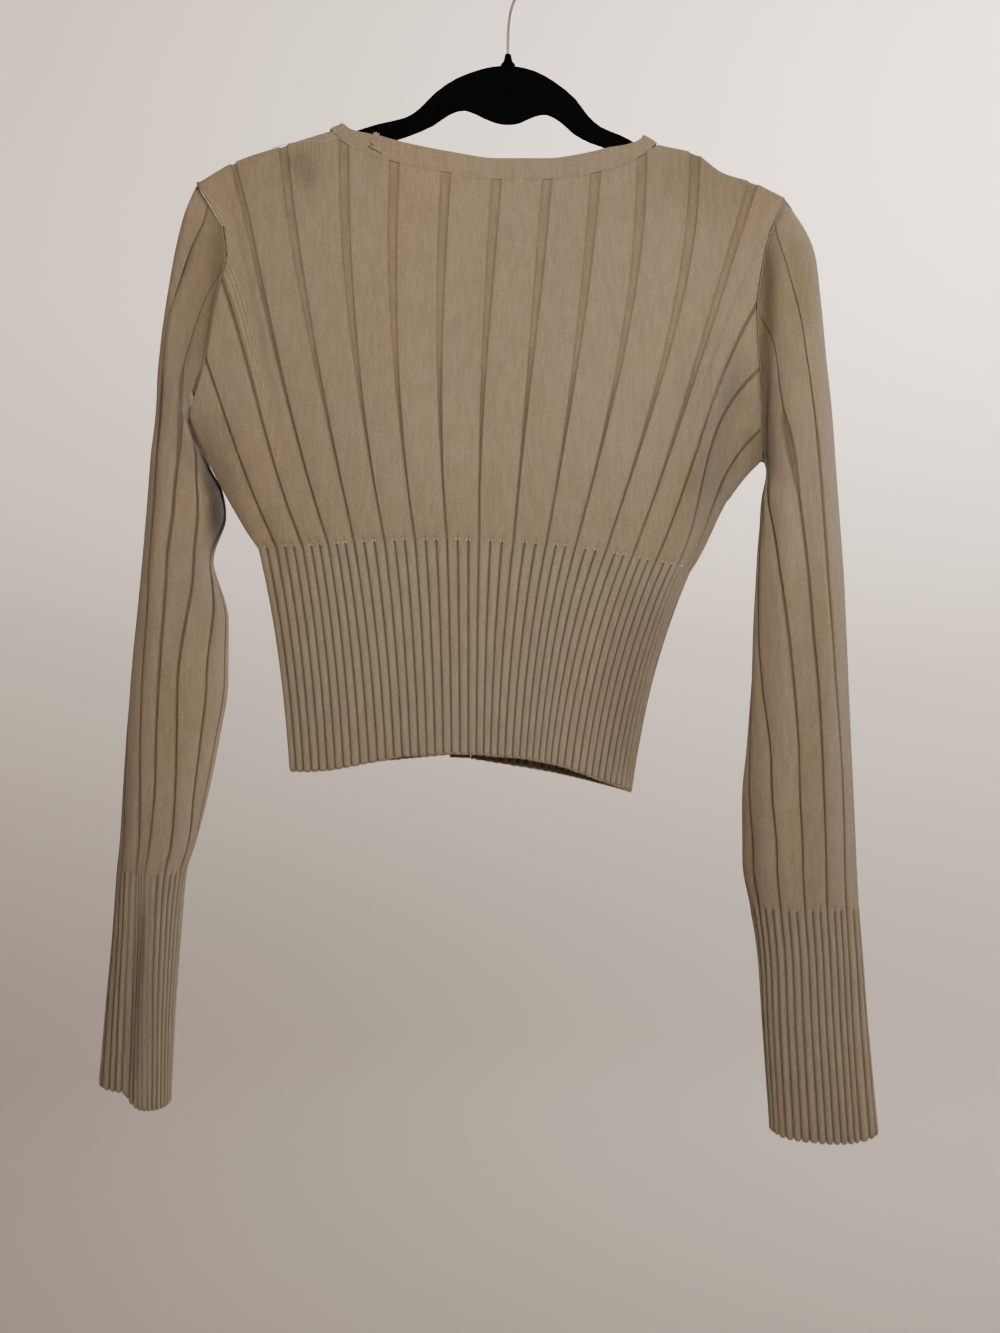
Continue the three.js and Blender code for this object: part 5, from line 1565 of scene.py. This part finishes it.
HOOK_RADIUS, HOOK_MIDDLE = 22.3, (0, -21)
HOOK_FROM, HOOK_TO = -58, 196            # degrees of the hook's round part
WIRE = 1.3                               # its radius
stem = smooth_path([(0, 0, -88), (0.2, 0, -74), (1.2, 0, -62), (4, 0, -51), (11.8, 0, -39.9)], 1.5)
turns = np.radians(np.linspace(HOOK_FROM, HOOK_TO, 110))
loop = np.stack([HOOK_MIDDLE[0] + HOOK_RADIUS * np.cos(turns), 0 * turns,
                 HOOK_MIDDLE[1] + HOOK_RADIUS * np.sin(turns)], -1)
wire_path = np.concatenate([stem[:-3], loop])    # the stem runs smoothly into the round part
wire_radii = np.full(len(wire_path), WIRE)       # and the wire's tip is rounded off
wire_radii[-4:] = WIRE * np.sqrt(1 - np.array([0, 0.3, 0.6, 0.9]) ** 2)
hook = new_piece("wire_hook", *drawn(wire_path, wire_radii, 20))
finish_piece(hook, chrome, ["hanger_hook"])

NECK_FOOT, NECK_TOP = -94.6, -87
# Radius and height, from the foot's middle to the top's.
neck_profile = [(0, NECK_FOOT), (5.1, NECK_FOOT), (4.9, NECK_FOOT + 0.5), (4.1, NECK_FOOT + 1.2),
                (3.4, NECK_FOOT + 2.2), (2.9, NECK_FOOT + 3.8), (2.5, NECK_FOOT + 5.4),
                (2.25, NECK_FOOT + 6.6), (2.1, NECK_TOP - 0.3), (1.8, NECK_TOP - 0.05), (0, NECK_TOP)]
neck = new_piece("flocked_neck", *turned(neck_profile, 32))
finish_piece(neck, flock, ["hanger_neck"])


def soft_copy(node, name, voxel, rounds):
    """A smoother copy of a CAD node, its edges rounded off."""
    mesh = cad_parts[node].data.copy()
    mesh.transform(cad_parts[node].matrix_world)
    work = bmesh.new()
    work.from_mesh(mesh)
    bmesh.ops.remove_doubles(work, verts=work.verts, dist=1e-5)
    work.to_mesh(mesh)
    work.free()
    piece = bpy.data.objects.new(name, mesh)
    bpy.context.scene.collection.objects.link(piece)
    remesh = piece.modifiers.new("even", "REMESH")
    remesh.mode, remesh.voxel_size = "VOXEL", voxel * MM
    relax = piece.modifiers.new("relax", "SMOOTH")
    relax.iterations, relax.factor = rounds, 0.5
    evaluated = piece.evaluated_get(bpy.context.evaluated_depsgraph_get())
    smooth = bpy.data.meshes.new_from_object(evaluated)
    piece.modifiers.clear()
    piece.data = smooth
    smooth.shade_smooth()
    return piece


hanger = soft_copy("hanger_body", "flocked_hanger", 1.0, 5)
finish_piece(hanger, flock, ["hanger_body"])

BUTTON_COUNT, BUTTON_RADIUS, BUTTON_SIDES = 6, 5.6, 80
DISH_DEPTH, HOLE_DEPTH = 0.75, 1.1       # of the button's middle, and of the holes below that
HOLE_RADIUS, HOLE_EDGE, HOLE_PLACE = 0.62, 0.12, 1.15
# Radii round the button's rim and how far they lie under its face, and the same over its foot.
BUTTON_RIM = [(4.9, 0.03), (5.2, 0.12), (5.42, 0.32), (5.56, 0.62), (BUTTON_RADIUS, 1.0)]
BUTTON_FOOT = [(BUTTON_RADIUS, 0.6), (5.4, 0.15), (5.0, 0), (2.5, 0)]
SLIT_HALF_WIDTH, SLIT_HALF_LENGTH = 1.2, 8.6     # of a buttonhole with its stitches


def button_face(radius, turn):
    """Depth below the rim of the button's face: a dished middle with four holes."""
    depth = DISH_DEPTH * smoothstep(4.5, 3.3, radius)
    x, z = radius * np.cos(turn), radius * np.sin(turn)
    for side_x in (-1, 1):
        for side_z in (-1, 1):
            gap = np.hypot(x - side_x * HOLE_PLACE, z - side_z * HOLE_PLACE)
            hole = smoothstep(HOLE_RADIUS + HOLE_EDGE, HOLE_RADIUS - HOLE_EDGE, gap)
            depth = depth + HOLE_DEPTH * hole
    return depth


def button_room(number):
    """A button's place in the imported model: the low and high corner of its box, and its middle."""
    low, high = [np.array(corner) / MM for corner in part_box(f"button_{number}")]
    return low, high, (low + high) / 2


def button(number):
    """A four-hole button and the yarn that crosses its holes."""
    low, high, middle = button_room(number)
    sides = BUTTON_SIDES
    turn = np.arange(sides) * 2 * math.pi / sides
    rings = [(radius, high[1] - drop - button_face(radius, turn))
             for radius, drop in [(radius, 0) for radius in np.linspace(0.2, 4.6, 26)] + BUTTON_RIM]
    rings += [(radius, low[1] + rise + 0 * turn) for radius, rise in BUTTON_FOOT]
    points = [(middle[0], high[1] - DISH_DEPTH, middle[2])]
    for radius, y in rings:
        points += list(zip(middle[0] + radius * np.cos(turn), y, middle[2] + radius * np.sin(turn)))
    points.append((middle[0], low[1], middle[2]))
    faces = [(1 + (k + 1) % sides, 1 + k, 0) for k in range(sides)]
    last, end = 1 + (len(rings) - 1) * sides, len(points) - 1
    for start in range(1, last, sides):
        for k in range(sides):
            after = (k + 1) % sides
            faces.append((start + after, start + sides + after, start + sides + k, start + k))
    faces += [(last + k, last + (k + 1) % sides, end) for k in range(sides)]
    piece = new_piece(f"four_hole_button_{number}", points, faces)
    finish_piece(piece, button_satin, [f"button_{number}"])
    crossing = [(middle[0], high[1] - 0.5, middle[2] + side * HOLE_PLACE) for side in (-1, 1)]
    stitches(f"button_yarn_{number}", crossing, [(1, 0, 0)] * 2, 2.9, 0.75, seam_yarn)


for number in range(1, BUTTON_COUNT + 1):
    button(number)


def buttonhole(number):
    """Close stitches round the slit that the button comes through."""
    middle = button_room(number)[2]
    turns = np.radians(np.arange(0, 360, 12))
    ring = np.stack([middle[0] + SLIT_HALF_WIDTH * np.cos(turns), 0 * turns,
                     middle[2] + SLIT_HALF_LENGTH * np.sin(turns)], -1)
    flat = outer_face(hole_surface, 0.1).reshape(-1, 3)
    nearest = np.hypot(flat[:, 0, None] - ring[:, 0], flat[:, 2, None] - ring[:, 2]).argmin(0)
    ring[:, 1] = flat[nearest, 1]
    ways = np.stack([np.cos(turns), 0 * turns, 0.25 * np.sin(turns)], -1)
    stitches(f"buttonhole_stitches_{number}", ring, unit(ways), 1.8, 0.6, seam_yarn)


for number in range(1, BUTTON_COUNT + 1):
    buttonhole(number)


# ---- stage, light and camera ----
def studio_bowl():
    """A pale floor that curves up into a round wall far behind and around the garment."""
    floor_z, wall_radius, curve, top_z = -1350, 3000, 900, 2600
    profile = [(0, floor_z), (wall_radius - curve, floor_z)]
    for k in range(1, 13):
        angle = math.pi / 2 * k / 12
        profile.append((wall_radius - curve + curve * math.sin(angle),
                        floor_z + curve * (1 - math.cos(angle))))
    profile.append((wall_radius, top_z))
    sides = 96
    points, faces = [(0, 0, floor_z)], []
    for radius, z in profile[1:]:
        for k in range(sides):
            turn = 2 * math.pi * k / sides
            points.append((radius * math.cos(turn), radius * math.sin(turn), z))
    faces += [(0, 1 + k, 1 + (k + 1) % sides) for k in range(sides)]
    for ring in range(len(profile) - 2):
        low, high = 1 + ring * sides, 1 + (ring + 1) * sides
        for k in range(sides):
            after = (k + 1) % sides
            faces.append((low + k, high + k, high + after, low + after))
    return new_piece("studio", points, faces)


def plaster_material():
    """Pale plaster with painted shade that darkens it towards the floor and the left."""
    made, tree, shader = material("pale_plaster", PLASTER, 0.95)
    split = tree.nodes.new("ShaderNodeSeparateXYZ")
    tree.links.new(object_place(tree), split.inputs[0])
    rise = ramp(tree, split.outputs[2], -1.5, 0.5, 0.28, 1.0)
    side = ramp(tree, split.outputs[0], -2.4, 1.6, 0.86, 1.0)
    painted_falloff = calc(tree, "MULTIPLY", rise, side)
    tree.links.new(blend(tree, painted_falloff, (0, 0, 0, 1), (*PLASTER, 1)), shader.inputs["Base Color"])
    return made


studio = studio_bowl()
plaster = plaster_material()
studio.data.materials.append(plaster)


def soft_light(name, place, aim, size, power, colour):
    """A round area light that is aimed at a point and isn't seen itself."""
    data = bpy.data.lights.new(name, "AREA")
    data.shape, data.size = "DISK", size
    data.energy, data.color = power, colour
    light = bpy.data.objects.new(name, data)
    light.location = place
    light.visible_camera = False
    light.rotation_euler = (Vector(aim) - Vector(place)).to_track_quat("-Z", "Y").to_euler()
    bpy.context.scene.collection.objects.link(light)


soft_light("key", (0.26, -0.95, -0.22), (0.02, 0, -0.40), 0.6, 11.5, (1.0, 0.965, 0.92))
soft_light("fill", (-0.9, -1.7, 0.1), (0, 0, -0.4), 1.4, 5, (1.0, 0.97, 0.94))
soft_light("wall_wash", (1.1, 0.7, 1.1), (1.0, 3.0, 0.25), 1.2, 165, (1.0, 0.95, 0.91))
soft_light("far_side", (0.9, 1.9, 0.9), (0, 0, -0.4), 1.4, 30, (1.0, 0.97, 0.93))
world = bpy.data.worlds.new("pale_room")
world.use_nodes = True
world.node_tree.nodes["Background"].inputs["Color"].default_value = (0.90, 0.87, 0.84, 1)
world.node_tree.nodes["Background"].inputs["Strength"].default_value = 0.27
bpy.context.scene.world = world

FRAME_HEIGHT = 0.9331        # of the view, at the garment's plane
CAMERA_DISTANCE = 1.0
SENSOR_HEIGHT = 36           # in mm
camera_data = bpy.data.cameras.new("camera")
camera_data.sensor_fit = "VERTICAL"
camera_data.sensor_height = SENSOR_HEIGHT
camera_data.lens = SENSOR_HEIGHT * CAMERA_DISTANCE / FRAME_HEIGHT
camera = bpy.data.objects.new("camera", camera_data)
camera.location = (-0.0056, -CAMERA_DISTANCE, -0.5156)
camera.rotation_euler = (math.pi / 2, 0, 0)
bpy.context.scene.collection.objects.link(camera)
bpy.context.scene.camera = camera

bpy.context.view_layer.update()
